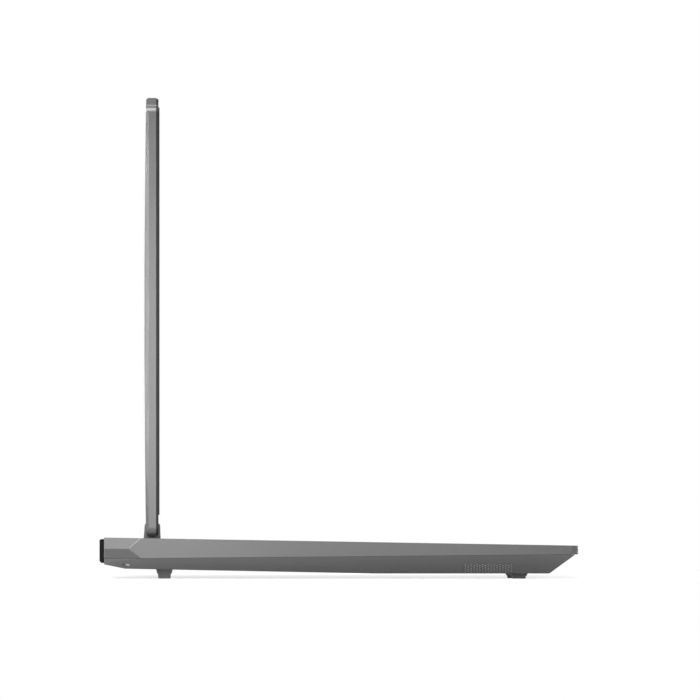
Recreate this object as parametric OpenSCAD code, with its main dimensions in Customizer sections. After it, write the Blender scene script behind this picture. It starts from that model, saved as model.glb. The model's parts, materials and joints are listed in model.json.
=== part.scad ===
/* [Case] */
// Width of the base across the side creases
body_w = 359.86; // [340:1:400]
// Depth of the base from the front lip to the back of the rear grille
body_d = 258.7; // [245:1:280]
// Height of the deck above the table at the front lip
deck_front_z = 17.88; // [16.5:0.1:21]
// Slope of the deck, rising towards the hinge
deck_tilt = 0.977; // [0.6:0.05:1.4]
// Height of the side crease above the table at the front
crease_front_z = 13.1; // [11:0.1:13.6]
// Slope of the side crease, falling towards the hinge
crease_tilt = 0.508; // [0.2:0.05:0.8]
// Height of the bottom plate above the table at the front
plate_z = 2.78; // [2.2:0.1:3.6]
// Distance from the front lip to where the bottom plate starts to rise
plate_break_d = 109; // [80:1:140]
// Slope of the rear half of the bottom plate
plate_tilt = 1.11; // [0.8:0.05:1.3]
// Wall thickness of both halves of the case
wall = 1.8; // [1.4:0.1:2.2]
// Radius of the front corners in plan
corner_r = 5.3; // [3:0.1:9]
// Inward lean of the upper side facets
side_draft = 3; // [1:0.5:6]
// Slope of the lower side facets, measured from upright
facet_angle = 58.5; // [45:0.5:64]
// Slope of the lower front facet, measured from upright
front_angle = 53.6; // [45:0.5:60]
// Overhang of the front lip over the lower front facet
lip = 1.9; // [0.8:0.1:3]
// Depth of the chamfer under the rear edge
tail_d = 11.4; // [8:0.1:14]
// Slope of the chamfer under the rear edge
tail_angle = 11.5; // [6:0.5:16]
// Gap between the top case and the bottom cover
seam = 0.12; // [0.05:0.01:0.3]

/* [Rear corner facets] */
// Distance of the cut's upper end from the back of the case
cut_top_d = 19.7; // [16:0.1:24]
// Distance of the cut's point from the back of the case
cut_point_d = 13.9; // [10:0.1:15.5]
// Height of the cut's point above the crease
cut_point_h = 5.4; // [3:0.1:7]
// Inset of the side at the back of the case
cut_inset = 9; // [5:0.5:12]
// How far the lowest line of the corner falls from the crease at the back, mm
cut_drop = 2.3; // [1:0.1:3]

/* [Hinge] */
// Distance of the hinge axis from the back of the rear grille
hinge_back_d = 28.45; // [26:0.1:34]
// Height of the hinge axis above the deck
hinge_h = 4.32; // [4.1:0.01:5]
// Distance of a hinge tower's middle from the side of the case, mm
tower_side_d = 47.93; // [40:0.5:70]
// Width of a hinge tower
tower_w = 40; // [30:1:46]
// Depth of a hinge tower at the deck
tower_d = 9.2; // [8.6:0.1:9.6]
// Height of a hinge tower above the deck
tower_h = 8.25; // [8:0.05:8.5]
// Radius of a tower's top edges
tower_r = 1.3; // [1:0.1:1.6]
// Wall of a hinge tower
tower_wall = 1.1; // [0.8:0.1:1.3]
// Radius of the hinge pin
pin_r = 1.5; // [1:0.05:1.6]
// Running clearance round the hinge pin
pin_gap = 0.05; // [0.02:0.01:0.09]
// Thickness of the hinge metal
hinge_t = 1.2; // [0.8:0.1:1.4]

/* [Lid] */
// How far each side of the lid is set in from the side of the case, mm
lid_inset = 0.43; // [0.2:0.01:1]
// Distance from the hinge axis to the lid's lower edge
lid_drop = 3.43; // [2.8:0.01:3.6]
// Height of the border below the screen, down to the hinge axis, mm
chin = 27.3; // [22:0.1:34]
// Distance from the hinge axis back to the cover
lid_back = 4.25; // [3.6:0.01:4.5]
// Distance from the hinge axis forward to the bezel's face
lid_front = 3.4; // [3.2:0.01:3.6]
// Thickness of the screen bezel
bezel_t = 1.3; // [1:0.05:1.6]
// Thickness of the rubber gasket proud of the bezel
gasket_t = 0.55; // [0.3:0.05:0.6]
// Width of the rubber gasket
gasket_w = 2.2; // [1.5:0.1:3]
// Height of the gasket's lower end above the hinge axis
gasket_h = 8.6; // [6:0.1:12]
// Radius of the lid's corners
lid_r = 5.3; // [4:0.1:8]
// Crown of the cover from its middle to its upper edge
lid_crown = 0.85; // [0.4:0.05:1.1]
// Wall of the cover
lid_wall = 0.85; // [0.7:0.05:1]
// Chamfer round the back of the cover
lid_chamfer = 0.9; // [0.4:0.1:1.2]
// Radius of the lid's lower edges
lid_foot_r = 2.5; // [2.4:0.1:2.7]
// Width of the camera bump's upper edge
bump_w = 96; // [60:1:130]
// Height of the camera bump above the lid
bump_h = 5.6; // [2:0.1:7]
// Run of the sloping ends of the camera bump
bump_slope = 7; // [4:0.5:12]

/* [Screen] */
// Width of the border on each side of the screen, mm
side_border = 7.4; // [6:0.1:12]
// Height of the lit area
screen_h = 193.6; // [180:0.1:200]
// Height of the bezel above the lit area
brow = 8.6; // [6:0.1:12]
// Thickness of the screen panel
panel_t = 2.6; // [2:0.1:3]
// Border of the screen panel round the lit area
panel_border = 2.4; // [1.5:0.1:3]

/* [Keyboard] */
// Distance from the hinge axis to the keyboard opening
keys_back_d = 24; // [18:0.5:34]
// Distance from the keyboard's ends to the sides of the case, mm
keys_side_d = 6.73; // [5:0.1:12]
// Pitch of the number pad's keys as a share of the main keys' pitch
pad_share = 0.8656; // [0.8:0.01:1]
// Pitch of the function row
fn_pitch = 12.4; // [11:0.1:15]
// Gap between two keys
key_gap = 3; // [2.4:0.1:3.6]
// Gap between a key and the frame round it
key_clear = 0.35; // [0.25:0.05:0.5]
// Gap between the main keys and the number pad
pad_gap = 3; // [1:0.5:6]
// Height of a keycap
key_h = 2.6; // [2:0.1:2.8]
// Depth of the key tops below the deck
key_sink = 0.2; // [0.15:0.05:0.6]
// Travel of a key
key_travel = 1.5; // [1:0.1:1.6]
// Corner radius of a keycap
key_r = 1.6; // [0.8:0.1:2.4]
// Height of the rounded step at the top of a keycap
key_step = 0.5; // [0.3:0.1:0.8]

/* [Touchpad and button] */
// Width of the touchpad
touch_w = 120; // [100:1:135]
// Depth of the touchpad
touch_d = 75; // [60:1:80]
// Distance from the front lip to the touchpad
touch_front_d = 11; // [8:0.5:16]
// Distance of the touchpad to the left of the middle
touch_shift = 30; // [0:1:34]
// Gap round the touchpad
touch_gap = 0.3; // [0.2:0.05:0.5]
// Thickness of the touchpad
touch_t = 1.6; // [1.2:0.1:2]
// Width of the power button
power_w = 18; // [12:0.5:24]
// Depth of the power button
power_d = 7; // [6:0.5:9]
// Travel of the power button
power_travel = 0.4; // [0.3:0.05:0.6]

/* [Cooling] */
// Distance of a fan's axis from the side of the case, mm
fan_side_d = 73.93; // [66:0.5:90]
// Distance from a fan's axis to the back of the case
fan_back_d = 60; // [56:1:70]
// Radius of a fan rotor
fan_r = 29; // [22:0.5:32]
// Height of a fan housing
fan_h = 7.4; // [6:0.1:8]
// Number of fan blades
fan_blades = 31; // [17:2:37]
// Length of a heatsink along the rear grille
sink_w = 84; // [60:1:92]
// Depth of a heatsink
sink_d = 15; // [12:0.5:16]
// Pitch of the heatsink fins
fin_pitch = 2.8; // [2.4:0.1:4]

/* [Rear grille] */
// Depth of the rear grille
grille_d = 2.45; // [2:0.05:3]
// Height of the rear grille
grille_h = 12.9; // [11:0.1:13]
// Distance from the rear grille's top to the deck
grille_drop = 0.85; // [0.6:0.05:1.2]
// Width of an exhaust slot
slot_w = 2.6; // [1.6:0.1:3]
// Pitch of the exhaust slots
slot_pitch = 4.1; // [3.6:0.1:5]

/* [Feet and speakers] */
// Distance of the rear foot's ends from the sides of the case, mm
rear_foot_side_d = 39.93; // [30:0.5:80]
// Distance from the rear foot's middle line to the back of the grille
rear_foot_d = 35.05; // [30:0.5:44]
// Depth of the rear foot where it meets the plate
rear_foot_w = 9; // [7:0.1:11]
// Distance of a front foot's middle from the side of the case, mm
front_foot_side_d = 61.93; // [50:0.5:100]
// Length of a front foot
front_foot_l = 44; // [24:1:60]
// Distance from the front lip to a front foot's middle line
front_foot_d = 31.8; // [26:0.5:40]
// Depth of a front foot where it meets the plate
front_foot_w = 9.2; // [7:0.1:11]
// Distance from the front lip to the middle of a speaker grille
speaker_front_d = 48.8; // [40:0.5:60]
// Length of a speaker grille
speaker_l = 27.5; // [18:0.5:32]
// Height of a speaker grille along its facet
speaker_h = 9.6; // [6:0.1:10]
// Distance from the side crease down the facet to the grille's middle
speaker_down = 13.6; // [10:0.1:13.8]

/* [Hidden] */
$fn = 48;
reach = 700;
tiny = 0.01;
half_w = body_w / 2;
front_y = -body_d / 2;
grille_back_y = body_d / 2;
case_back_y = grille_back_y - grille_d;
core = [0, 0, (deck_front_z + plate_z) / 2];
break_y = front_y + plate_break_d;
tail_y = case_back_y - tail_d;
hinge_y = grille_back_y - hinge_back_d;
hinge_z = deck_z(hinge_y) + hinge_h;
deck_mid_z = deck_z(0);
tower_x = half_w - tower_side_d;
fan_x = half_w - fan_side_d;
rear_foot_x = half_w - rear_foot_side_d;
front_foot_x = half_w - front_foot_side_d;
lid_w = body_w - 2 * lid_inset;
lid_rise = chin + screen_h + brow;
screen_w = lid_w - 2 * side_border;

// Height of the deck, of the side crease and of the bottom plate at a given depth
function deck_z(y) = deck_front_z + (y - front_y) * tan(deck_tilt);
function crease_z(y) = crease_front_z - (y - front_y) * tan(crease_tilt);
function plate_h(y) = plate_z + max(0, y - break_y) * tan(plate_tilt);

// Corner points of a rounded rectangle centred on the origin
function rounded_points(w, d, r, steps) = [
  for (q = [0:3], i = [0:steps])
    let (a = 90 * q + 90 * i / steps)
    let (sx = q == 0 || q == 3 ? 1 : -1, sy = q < 2 ? 1 : -1)
    [sx * (w / 2 - r) + r * cos(a), sy * (d / 2 - r) + r * sin(a)]
];

// Rounded rectangle with true arcs
module rounded(w, d, r) {
  square([w - 2 * r, d], center = true);
  square([w, d - 2 * r], center = true);
  for (x = [-1, 1], y = [-1, 1]) translate([x * (w / 2 - r), y * (d / 2 - r)]) circle(r);
}

// Frame of the deck: z = 0 is the deck's surface and y runs towards the hinge
module on_deck() {
  translate([0, 0, deck_mid_z]) rotate([deck_tilt, 0, 0]) children();
}

// Frame of the crease plane: z = 0 is the line between the two halves of the case
module at_crease() {
  translate([0, front_y, crease_front_z]) rotate([-crease_tilt, 0, 0]) children();
}

// Frame of a lower side facet: x runs down the facet, z points out of it
module on_facet() {
  at_crease() translate([half_w, 0, 0]) rotate([0, 90 + facet_angle, 0]) children();
}

// Everything outside the plane through three points, moved inwards by a wall's thickness
module outside(a, b, c, inset) {
  n0 = cross(b - a, c - a);
  n = n0 * sign(n0 * (a - core)) / norm(n0);
  translate(a - n * inset)
    rotate([0, acos(n.z), atan2(n.y, n.x)])
      translate([-reach, -reach, 0]) cube([2 * reach, 2 * reach, reach]);
}

// Outline of the base in plan
module plan(inset) {
  r = corner_r - inset;
  w = half_w - inset;
  y0 = front_y + inset;
  translate([-w + r, y0]) square([2 * (w - r), case_back_y - inset - y0]);
  translate([-w, y0 + r]) square([2 * w, case_back_y - inset - y0 - r]);
  for (s = [-1, 1]) translate([s * (w - r), y0 + r]) circle(r);
}

// The base as one solid, cut to its facets. An inset gives the space inside its walls.
module base_form(inset) {
  y1 = case_back_y - cut_top_d;
  y2 = case_back_y - cut_point_d;
  tip_z = crease_z(y2) + cut_point_h;
  lean = (deck_z(y1) - crease_z(y1)) * tan(side_draft);
  facet_x = tan(facet_angle);
  turn = cut_inset / (case_back_y - y2);
  under = turn * (y2 - y1) / (tip_z - crease_z(y1));
  low_in = turn * (case_back_y - y1) + under * cut_drop;
  low_h = crease_z(y1) - plate_h(y1);
  difference() {
    linear_extrude(height = 40) plan(inset);
    outside([0, front_y, deck_front_z], [reach, front_y, deck_front_z],
            [0, 0, deck_mid_z], inset);
    outside([0, front_y, plate_z], [reach, front_y, plate_z], [0, 0, plate_z], inset);
    outside([0, break_y, plate_z], [reach, break_y, plate_z],
            [0, break_y + 1, plate_z + tan(plate_tilt)], inset);
    outside([0, tail_y, plate_h(tail_y)], [reach, tail_y, plate_h(tail_y)],
            [0, tail_y + 1, plate_h(tail_y) + tan(tail_angle)], inset);
    for (s = [-1, 1]) {
      outside([s * half_w, front_y, crease_front_z], [s * half_w, 0, crease_z(0)],
              [s * (half_w - tan(side_draft)), front_y, crease_front_z + 1], inset);
      outside([s * half_w, front_y, crease_front_z], [s * half_w, 0, crease_z(0)],
              [s * (half_w - facet_x), front_y, crease_front_z - 1], inset);
      outside([s * (half_w - lean), y1, deck_z(y1)], [s * half_w, y2, tip_z],
              [s * (half_w - cut_inset), case_back_y, tip_z], inset);
      outside([s * half_w, y1, crease_z(y1)], [s * half_w, y2, tip_z],
              [s * (half_w - cut_inset), case_back_y, tip_z], inset);
      outside([s * half_w, y1, crease_z(y1)],
              [s * (half_w - low_in), case_back_y, crease_z(y1) - cut_drop],
              [s * (half_w - low_h * facet_x), y1 - low_h, plate_h(y1)], inset);
    }
  }
}

// Everything above or below the crease plane
module above_crease(gap) {
  at_crease() translate([-reach, -reach, gap]) cube([2 * reach, 3 * reach, reach]);
}
module below_crease(gap) {
  at_crease() translate([-reach, -reach, -gap - reach]) cube([2 * reach, 3 * reach, reach]);
}

// Window through the back wall, which the rear grille covers
grille_w = body_w - 2 * (cut_inset + 6.5);
module back_window(border) {
  z0 = deck_z(case_back_y) - grille_drop - grille_h;
  translate([-grille_w / 2 + border, case_back_y - 3 * wall, z0 + border])
    cube([grille_w - 2 * border, 3 * wall + 1, grille_h - 2 * border]);
}

// Keyboard layout: each key is [left, back, width, depth] in pitches from the opening's corner
main_cols = 15;
pad_cols = 4;
keys_w = body_w - 2 * keys_side_d;
key_pitch = (keys_w - pad_gap) / (main_cols + pad_cols * pad_share);
pad_pitch = pad_share * key_pitch;
keys_d = fn_pitch + 5 * key_pitch;
keys_x = -keys_w / 2;
keys_y = hinge_y - keys_back_d;
key_bed = key_sink + key_h + key_travel + 0.5;
frame_t = 0.9;
frame_sink = 0.25;

// Back edge and depth of a row of keys
function row_y(r) = r == 0 ? keys_y : keys_y - fn_pitch - (r - 1) * key_pitch;
function row_d(r) = r == 0 ? fn_pitch : key_pitch;

// Widths of the keys in each row, in key pitches
row_widths = [
  [for (i = [0:14]) 1],
  [for (i = [0:14]) i == 0 ? 0.8 : i == 14 ? 1.2 : 1],
  [for (i = [0:13]) i == 0 ? 1.4 : i == 13 ? 1.6 : 1],
  [for (i = [0:12]) i == 0 ? 1.7 : i == 12 ? 2.3 : 1],
  [for (i = [0:11]) i == 0 ? 2.2 : i == 11 ? 2.8 : 1],
  [1.2, 1, 1, 1.3],
];
space_w = 5.4;
after_space = [1.1, 1.1, 1.1];
function sum_to(v, n) = n <= 0 ? 0 : v[n - 1] + sum_to(v, n - 1);

// Keys as rectangles [x, y, w, d], from the left and the front
function row_keys(r) = [
  for (i = [0:len(row_widths[r]) - 1])
    [keys_x + sum_to(row_widths[r], i) * key_pitch, row_y(r) - row_d(r),
     row_widths[r][i] * key_pitch, row_d(r)]
];
left_mod_w = sum_to(row_widths[5], 4);
space_x = keys_x + left_mod_w * key_pitch;
space_key = [[space_x, row_y(5) - row_d(5), space_w * key_pitch, row_d(5)]];
right_mod_x = space_x + space_w * key_pitch;
mod_keys = concat(row_keys(5), [
  for (i = [0:2])
    [right_mod_x + sum_to(after_space, i) * key_pitch, row_y(5) - row_d(5),
     after_space[i] * key_pitch, row_d(5)]
]);
arrow_x = keys_x + (main_cols - 1) * key_pitch;
arrow_y = row_y(5) - row_d(5);
arrow_list = [
  [arrow_x - key_pitch * 0.2, arrow_y, key_pitch, key_pitch],
  [arrow_x - key_pitch * 1.2, arrow_y - key_pitch, key_pitch, key_pitch],
  [arrow_x - key_pitch * 0.2, arrow_y - key_pitch, key_pitch, key_pitch],
  [arrow_x + key_pitch * 0.8, arrow_y - key_pitch, key_pitch, key_pitch],
];
pad_x = keys_x + main_cols * key_pitch + pad_gap;
pad_keys = concat(
  [for (c = [0:3]) [pad_x + c * pad_pitch, row_y(0) - row_d(0), pad_pitch, row_d(0)]],
  [for (r = [1:4], c = [0:2]) [pad_x + c * pad_pitch, row_y(r) - row_d(r), pad_pitch, row_d(r)]],
  [[pad_x + 3 * pad_pitch, row_y(1) - row_d(1), pad_pitch, row_d(1)],
   [pad_x + 3 * pad_pitch, row_y(3) - row_d(3), pad_pitch, row_d(2) + row_d(3)],
   [pad_x + 3 * pad_pitch, row_y(5) - row_d(5), pad_pitch, row_d(4) + row_d(5)],
   [pad_x, row_y(5) - row_d(5), 2 * pad_pitch, row_d(5)],
   [pad_x + 2 * pad_pitch, row_y(5) - row_d(5), pad_pitch, row_d(5)]]
);
all_keys = concat(row_keys(0), row_keys(1), row_keys(2), row_keys(3), row_keys(4),
                  mod_keys, space_key, arrow_list, pad_keys);

// Prisms of all the given keys, smaller than their places by a gap on each side
module key_prisms(list, gap, r, z, h) {
  for (k = list)
    translate([k[0] + k[2] / 2, k[1] + k[3] / 2, z])
      linear_extrude(height = h) polygon(rounded_points(k[2] - 2 * gap, k[3] - 2 * gap, r, 2));
}

// One group of keycaps, each with a smaller raised top
module keycaps(list) {
  skirt_h = key_h - key_step;
  z = -key_sink - key_h;
  color("dimgray") on_deck() {
    key_prisms(list, key_gap / 2, key_r, z, skirt_h);
    key_prisms(list, key_gap / 2 + 0.7, key_r - 0.4, z + skirt_h - tiny, key_step + tiny);
  }
}

// Opening in the deck for the whole keyboard, with a smaller step for the arrow keys
module keyboard_opening(gap, z, h) {
  x0 = keys_x - 1.2;
  x1 = keys_x + keys_w + 1.2;
  y0 = row_y(5) - row_d(5) - 1.2;
  ax0 = arrow_x - key_pitch * 1.2 - 1.2;
  ax1 = arrow_x + key_pitch * 1.8 + 1.2;
  translate([0, 0, z]) linear_extrude(height = h) {
    translate([x0 + gap, y0 + gap]) square([x1 - x0 - 2 * gap, keys_y + 1.2 - y0 - 2 * gap]);
    translate([ax0 + gap, y0 - key_pitch + gap]) square([ax1 - ax0 - 2 * gap, key_pitch + 1]);
  }
}

// Places of the screws through the bottom cover
screw_x = half_w - 26;
screw_rear_x = 24;
screw_front_d = 22;
screw_mid_y = row_y(5) - row_d(5) - 9;
screw_front_x = [-touch_shift - touch_w / 2 - 14, touch_w / 2 - touch_shift + 26];
screw_places = [
  for (x = [-screw_x, -screw_rear_x, screw_rear_x, screw_x]) [x, case_back_y - 26],
  for (x = [-screw_x, screw_x]) [x, screw_mid_y],
  for (x = concat([-screw_x, screw_x], screw_front_x)) [x, front_y + screw_front_d],
];
screw_r = 1.25;
screw_head_r = 2.4;
screw_head_h = 1.2;
screw_sink = 0.2;
boss_r = 2.6;

// Right side openings, by the distance of their middles from the back of the case
side_usb_d = 38;
jack_d = 25.6;
shutter_d = 67;
side_mid_h = 4.6;
jack_r = 1.75;
jack_l = 13;
usb_w = 14.4;
usb_h = 6.4;

// Frame of the right side, above the crease: x points out, z is up
module on_side(back_d) {
  y = case_back_y - back_d;
  translate([half_w, y, crease_z(y) + side_mid_h]) children();
}

// Rear ports, by their distance from the middle of the case
power_x = 43;
lan_x = 21;
hdmi_x = 0;
usb_c_x = -13;
usb_x = [-26.8, -42];
port_z = deck_z(case_back_y) - grille_drop - grille_h / 2;
lan_w = 15.4;
lan_h = 10.4;
lan_l = 14;
lan_open_w = 12;
lan_open_h = 7.2;
lan_open_l = 11.5;
hdmi_w = 15;
hdmi_h = 5.6;
usb_c_w = 9;
usb_c_h = 3.4;
inlet_w = 13.5;
inlet_h = 7;
port_gap = 0.15;
port_l = 12;

module at_rear(x) {
  translate([x, grille_back_y, port_z]) children();
}

module top_case() {
  color("gray") difference() {
    intersection() {
      difference() {
        base_form(0);
        base_form(wall);
      }
      above_crease(seam / 2);
    }
    on_deck() keyboard_opening(0, -3 * wall, 4 * wall);
    on_deck() touch_opening(0);
    on_deck() power_opening();
    back_window(0.6);
    for (s = [-1, 1]) tower_opening(s);
    on_side(side_usb_d) translate([-6, -usb_w / 2 - port_gap, -usb_h / 2 - port_gap])
      cube([12, usb_w + 2 * port_gap, usb_h + 2 * port_gap]);
    on_side(jack_d) translate([-6, 0, 0]) rotate([0, 90, 0])
      cylinder(h = 12, r = jack_r + 1.3 + port_gap);
    on_side(shutter_d) translate([-6, -4.2, -1.2]) cube([12, 8.4, 2.4]);
  }
  color("gray") difference() {
    for (p = screw_places) translate([p.x, p.y, boss_z(p)])
      cylinder(h = deck_z(p.y) - wall / 2 - boss_z(p), r = boss_r);
    for (p = screw_places) translate([p.x, p.y, 0])
      cylinder(h = deck_z(p.y) - wall - 1, r = screw_r + 0.08);
  }
}

// Lower end of a screw boss, which hangs from the deck down to the bottom cover
function boss_z(p) = plate_h(p.y) + wall + 0.15;

module bottom_cover() {
  color("dimgray") difference() {
    intersection() {
      difference() {
        base_form(0);
        base_form(wall);
      }
      below_crease(seam / 2);
    }
    outside([0, front_y + lip, crease_front_z], [reach, front_y + lip, crease_front_z],
            [0, front_y + lip + tan(front_angle), crease_front_z - 1], 0);
    back_window(0.6);
    for (s = [-1, 1]) speaker_window(s);
    for (p = screw_places) translate([p.x, p.y, -1]) cylinder(h = reach, r = screw_r + 0.2);
    for (p = screw_places)
      translate([p.x, p.y, -1]) 
        cylinder(h = 1 + plate_h(p.y) + screw_sink + screw_head_h, r = screw_head_r + 0.15);
    for (s = [-1, 1], row = [0, 1]) intake_slots(s * fan_x, row);
  }
  color("dimgray") front_wall();
}

// Sloping front wall of the bottom cover, set back under the lip
module front_wall() {
  top = [front_y + lip, crease_front_z];
  run = tan(front_angle);
  h = top.y - plate_z;
  intersection() {
    difference() {
      base_form(0);
      outside([0, top.x, top.y], [reach, top.x, top.y], [0, top.x + run, top.y - 1], 0);
      translate([0, wall / cos(front_angle), 0])
        rotate([90, 0, 90]) translate([0, 0, -reach])
          linear_extrude(height = 2 * reach)
            polygon([[top.x, top.y], [top.x + run * h, plate_z], [top.x + reach, plate_z],
                     [top.x + reach, top.y + 9], [top.x, top.y + 9]]);
    }
    below_crease(seam / 2);
  }
}

// Rows of slots in the bottom plate under a fan
slot_rows = 9;
module intake_slots(x, row) {
  y = case_back_y - fan_back_d;
  pitch = 6;
  for (i = [0:slot_rows - 1])
    translate([x + (i - (slot_rows - 1) / 2) * pitch, y + (row - 0.5) * 26, 0])
      translate([-1.2, -11, -1]) cube([2.4, 22, plate_h(y) + 2 * wall + 1]);
}

// Perforated speaker grille on the lower side facet
hole_r = 0.45;
grille_cols = 17;
col_pitch = 1.55;
hole_pitch = 1.9;
grille_t = 0.8;
module speaker_place() {
  on_facet() translate([speaker_down, speaker_front_d, 0]) children();
}
module mirrored(s) {
  if (s < 0) mirror([1, 0, 0]) children();
  else children();
}
module speaker_window(s) {
  mirrored(s) speaker_place()
    translate([-speaker_h / 2, -speaker_l / 2, -2 * wall - 1]) cube([speaker_h, speaker_l, 3 * wall + 1]);
}
module speaker_grille(s) {
  gap = 0.1;
  color("gray") mirrored(s) speaker_place() difference() {
    translate([-speaker_h / 2 + gap, -speaker_l / 2 + gap, -grille_t])
      cube([speaker_h - 2 * gap, speaker_l - 2 * gap, grille_t]);
    for (c = [0:grille_cols - 1]) {
      n = c % 2 == 0 ? 5 : 4;
      for (i = [0:n - 1])
        translate([(i - (n - 1) / 2) * hole_pitch, (c - (grille_cols - 1) / 2) * col_pitch, -2])
          cylinder(h = 3, r = hole_r);
    }
  }
}

// Openings in the deck for the touchpad, the power button and the towers
touch_y = front_y + touch_front_d + touch_d / 2;
power_y = hinge_y - 12.5;
module touch_opening(gap) {
  translate([-touch_shift, touch_y, -3 * wall]) linear_extrude(height = 4 * wall)
    polygon(rounded_points(touch_w - 2 * gap, touch_d - 2 * gap, 2, 3));
}
module power_opening() {
  translate([0, power_y, -3 * wall]) linear_extrude(height = 4 * wall)
    rounded(power_w, power_d, power_d / 2 - tiny);
}
neck_w = 17;
module tower_opening(s) {
  translate([s * tower_x - neck_w / 2 - 0.5, hinge_y - 2 * hinge_t, deck_z(hinge_y) - 2 * wall])
    cube([neck_w + 1, 4 * hinge_t, 3 * wall]);
}

// Black grille across the back: a frame with exhaust slots at both ends and the ports between
module rear_grille() {
  z0 = deck_z(case_back_y) - grille_drop - grille_h;
  slots = floor((sink_w - 4) / slot_pitch);
  color("#202224") difference() {
    translate([-grille_w / 2, case_back_y, z0]) rotate([90, 0, 90])
      linear_extrude(height = grille_w)
        polygon([[0, 0], [grille_d - 1, 0], [grille_d, 1], [grille_d, grille_h - 0.7],
                 [grille_d - 0.7, grille_h], [0, grille_h]]);
    for (s = [-1, 1], i = [0:slots - 1])
      translate([s * fan_x + (i - (slots - 1) / 2) * slot_pitch - slot_w / 2, case_back_y - 1, z0 + 2.2])
        cube([slot_w, grille_d + 2, grille_h - 4.4]);
    port_hole(power_x, inlet_w, inlet_h);
    port_hole(lan_x, lan_w, lan_h);
    port_hole(hdmi_x, hdmi_w, hdmi_h);
    port_hole(usb_c_x, usb_c_w, usb_c_h);
    for (x = usb_x) port_hole(x, usb_w, usb_h);
  }
}
module port_hole(x, w, h) {
  at_rear(x) translate([-w / 2 - port_gap, -grille_d - 1, -h / 2 - port_gap])
    cube([w + 2 * port_gap, grille_d + 2, h + 2 * port_gap]);
}

// Hollow tower that stands on the deck over a hinge barrel
module tower_section(inset, foot) {
  w = tower_d / 2 - inset;
  top_w = w - 0.4;
  h = tower_h - inset;
  r = tower_r - inset / 2;
  polygon(concat(
    [[-w, foot], [w, foot]],
    [for (a = [0:30:90]) [top_w - r + r * cos(a), h - r + r * sin(a)]],
    [for (a = [90:30:180]) [r - top_w + r * cos(a), h - r + r * sin(a)]]
  ));
}
module hinge_tower(s) {
  color("gray") translate([s * tower_x - tower_w / 2, hinge_y, deck_z(hinge_y)])
    difference() {
      rotate([deck_tilt, 0, 0]) rotate([90, 0, 90])
        linear_extrude(height = tower_w) tower_section(0, 0);
      translate([tower_wall, 0, 0]) rotate([90, 0, 90])
        linear_extrude(height = tower_w - 2 * tower_wall) tower_section(tower_wall, -1);
      translate([-1, 0, hinge_h]) rotate([0, 90, 0])
        cylinder(h = tower_w + 2, r = pin_r + 0.25);
    }
}

// Base leaf of a hinge: a barrel in the tower on a foot that is screwed under the deck
barrel_r = 2.7;
barrel_l = tower_w - 2 * tower_wall - 1;
leaf_l = 18;
module hinge_bracket(s) {
  leaf_z = deck_z(hinge_y) - wall - 0.75;
  color("silver") difference() {
    union() {
      translate([s * tower_x, hinge_y, hinge_z]) rotate([0, 90, 0])
        cylinder(h = barrel_l, r = barrel_r, center = true);
      translate([s * tower_x - neck_w / 2, hinge_y - hinge_t, leaf_z - hinge_t])
        cube([neck_w, 2 * hinge_t, hinge_z - leaf_z + hinge_t]);
      translate([s * tower_x - 15, hinge_y - leaf_l, leaf_z - hinge_t]) cube([30, leaf_l + hinge_t, hinge_t]);
    }
    translate([s * tower_x, hinge_y, hinge_z]) rotate([0, 90, 0])
      cylinder(h = tower_w, r = pin_r + pin_gap, center = true);
  }
}

// Lid leaf of a hinge: the pin, its knuckle and the strap behind the screen
arm_w = 13;
arm_h = 46;
pin_in = 1.5;
module hinge_arm(s) {
  x0 = tower_x - tower_w / 2 + pin_in;
  strap_y = hinge_y + lid_in - hinge_t;
  far = tower_x + barrel_l / 2;
  color("silver") mirrored(s) union() {
    translate([x0 - pin_in - arm_w - 1, hinge_y, hinge_z]) rotate([0, 90, 0])
      cylinder(h = far - x0 + pin_in + arm_w + 1, r = pin_r);
    translate([x0 - pin_in - arm_w - 1, strap_y, hinge_z - pin_r])
      cube([arm_w, hinge_t, arm_h]);
    translate([x0 - pin_in - arm_w - 1, hinge_y - pin_r, hinge_z - pin_r])
      cube([arm_w, strap_y - hinge_y + pin_r + tiny, 2 * pin_r]);
  }
}

// Frame between the keys
module keyboard_frame() {
  color("#2c2e31") on_deck() difference() {
    keyboard_opening(key_clear / 2, -frame_sink - frame_t, frame_t);
    key_prisms(all_keys, key_gap / 2 - key_clear, key_r + 0.2, -3, 4);
  }
}

// Steel plate under the keys: a tray whose rim meets the underside of the deck
key_plate_t = 0.8;
module keyboard_plate() {
  color("#3a3c40") on_deck() difference() {
    keyboard_opening(-1, -key_bed - key_plate_t, key_bed + key_plate_t - wall);
    keyboard_opening(-0.2, -key_bed, key_bed + 1);
  }
}

module touchpad() {
  color("#5b5d60") on_deck() translate([-touch_shift, touch_y, -0.15 - touch_t])
    linear_extrude(height = touch_t)
      polygon(rounded_points(touch_w - 2 * touch_gap, touch_d - 2 * touch_gap, 2 - touch_gap, 3));
}

module power_button() {
  gap = 0.2;
  flange = 1.2;
  color("#6b6d70") on_deck() translate([0, power_y, 0]) {
    translate([0, 0, -wall - 0.1]) linear_extrude(height = wall - 0.1)
      rounded(power_w - 2 * gap, power_d - 2 * gap, power_d / 2 - gap - tiny);
    translate([0, 0, -wall - 0.9]) linear_extrude(height = 0.8)
      rounded(power_w + flange, power_d + flange, power_d / 2);
  }
}

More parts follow.
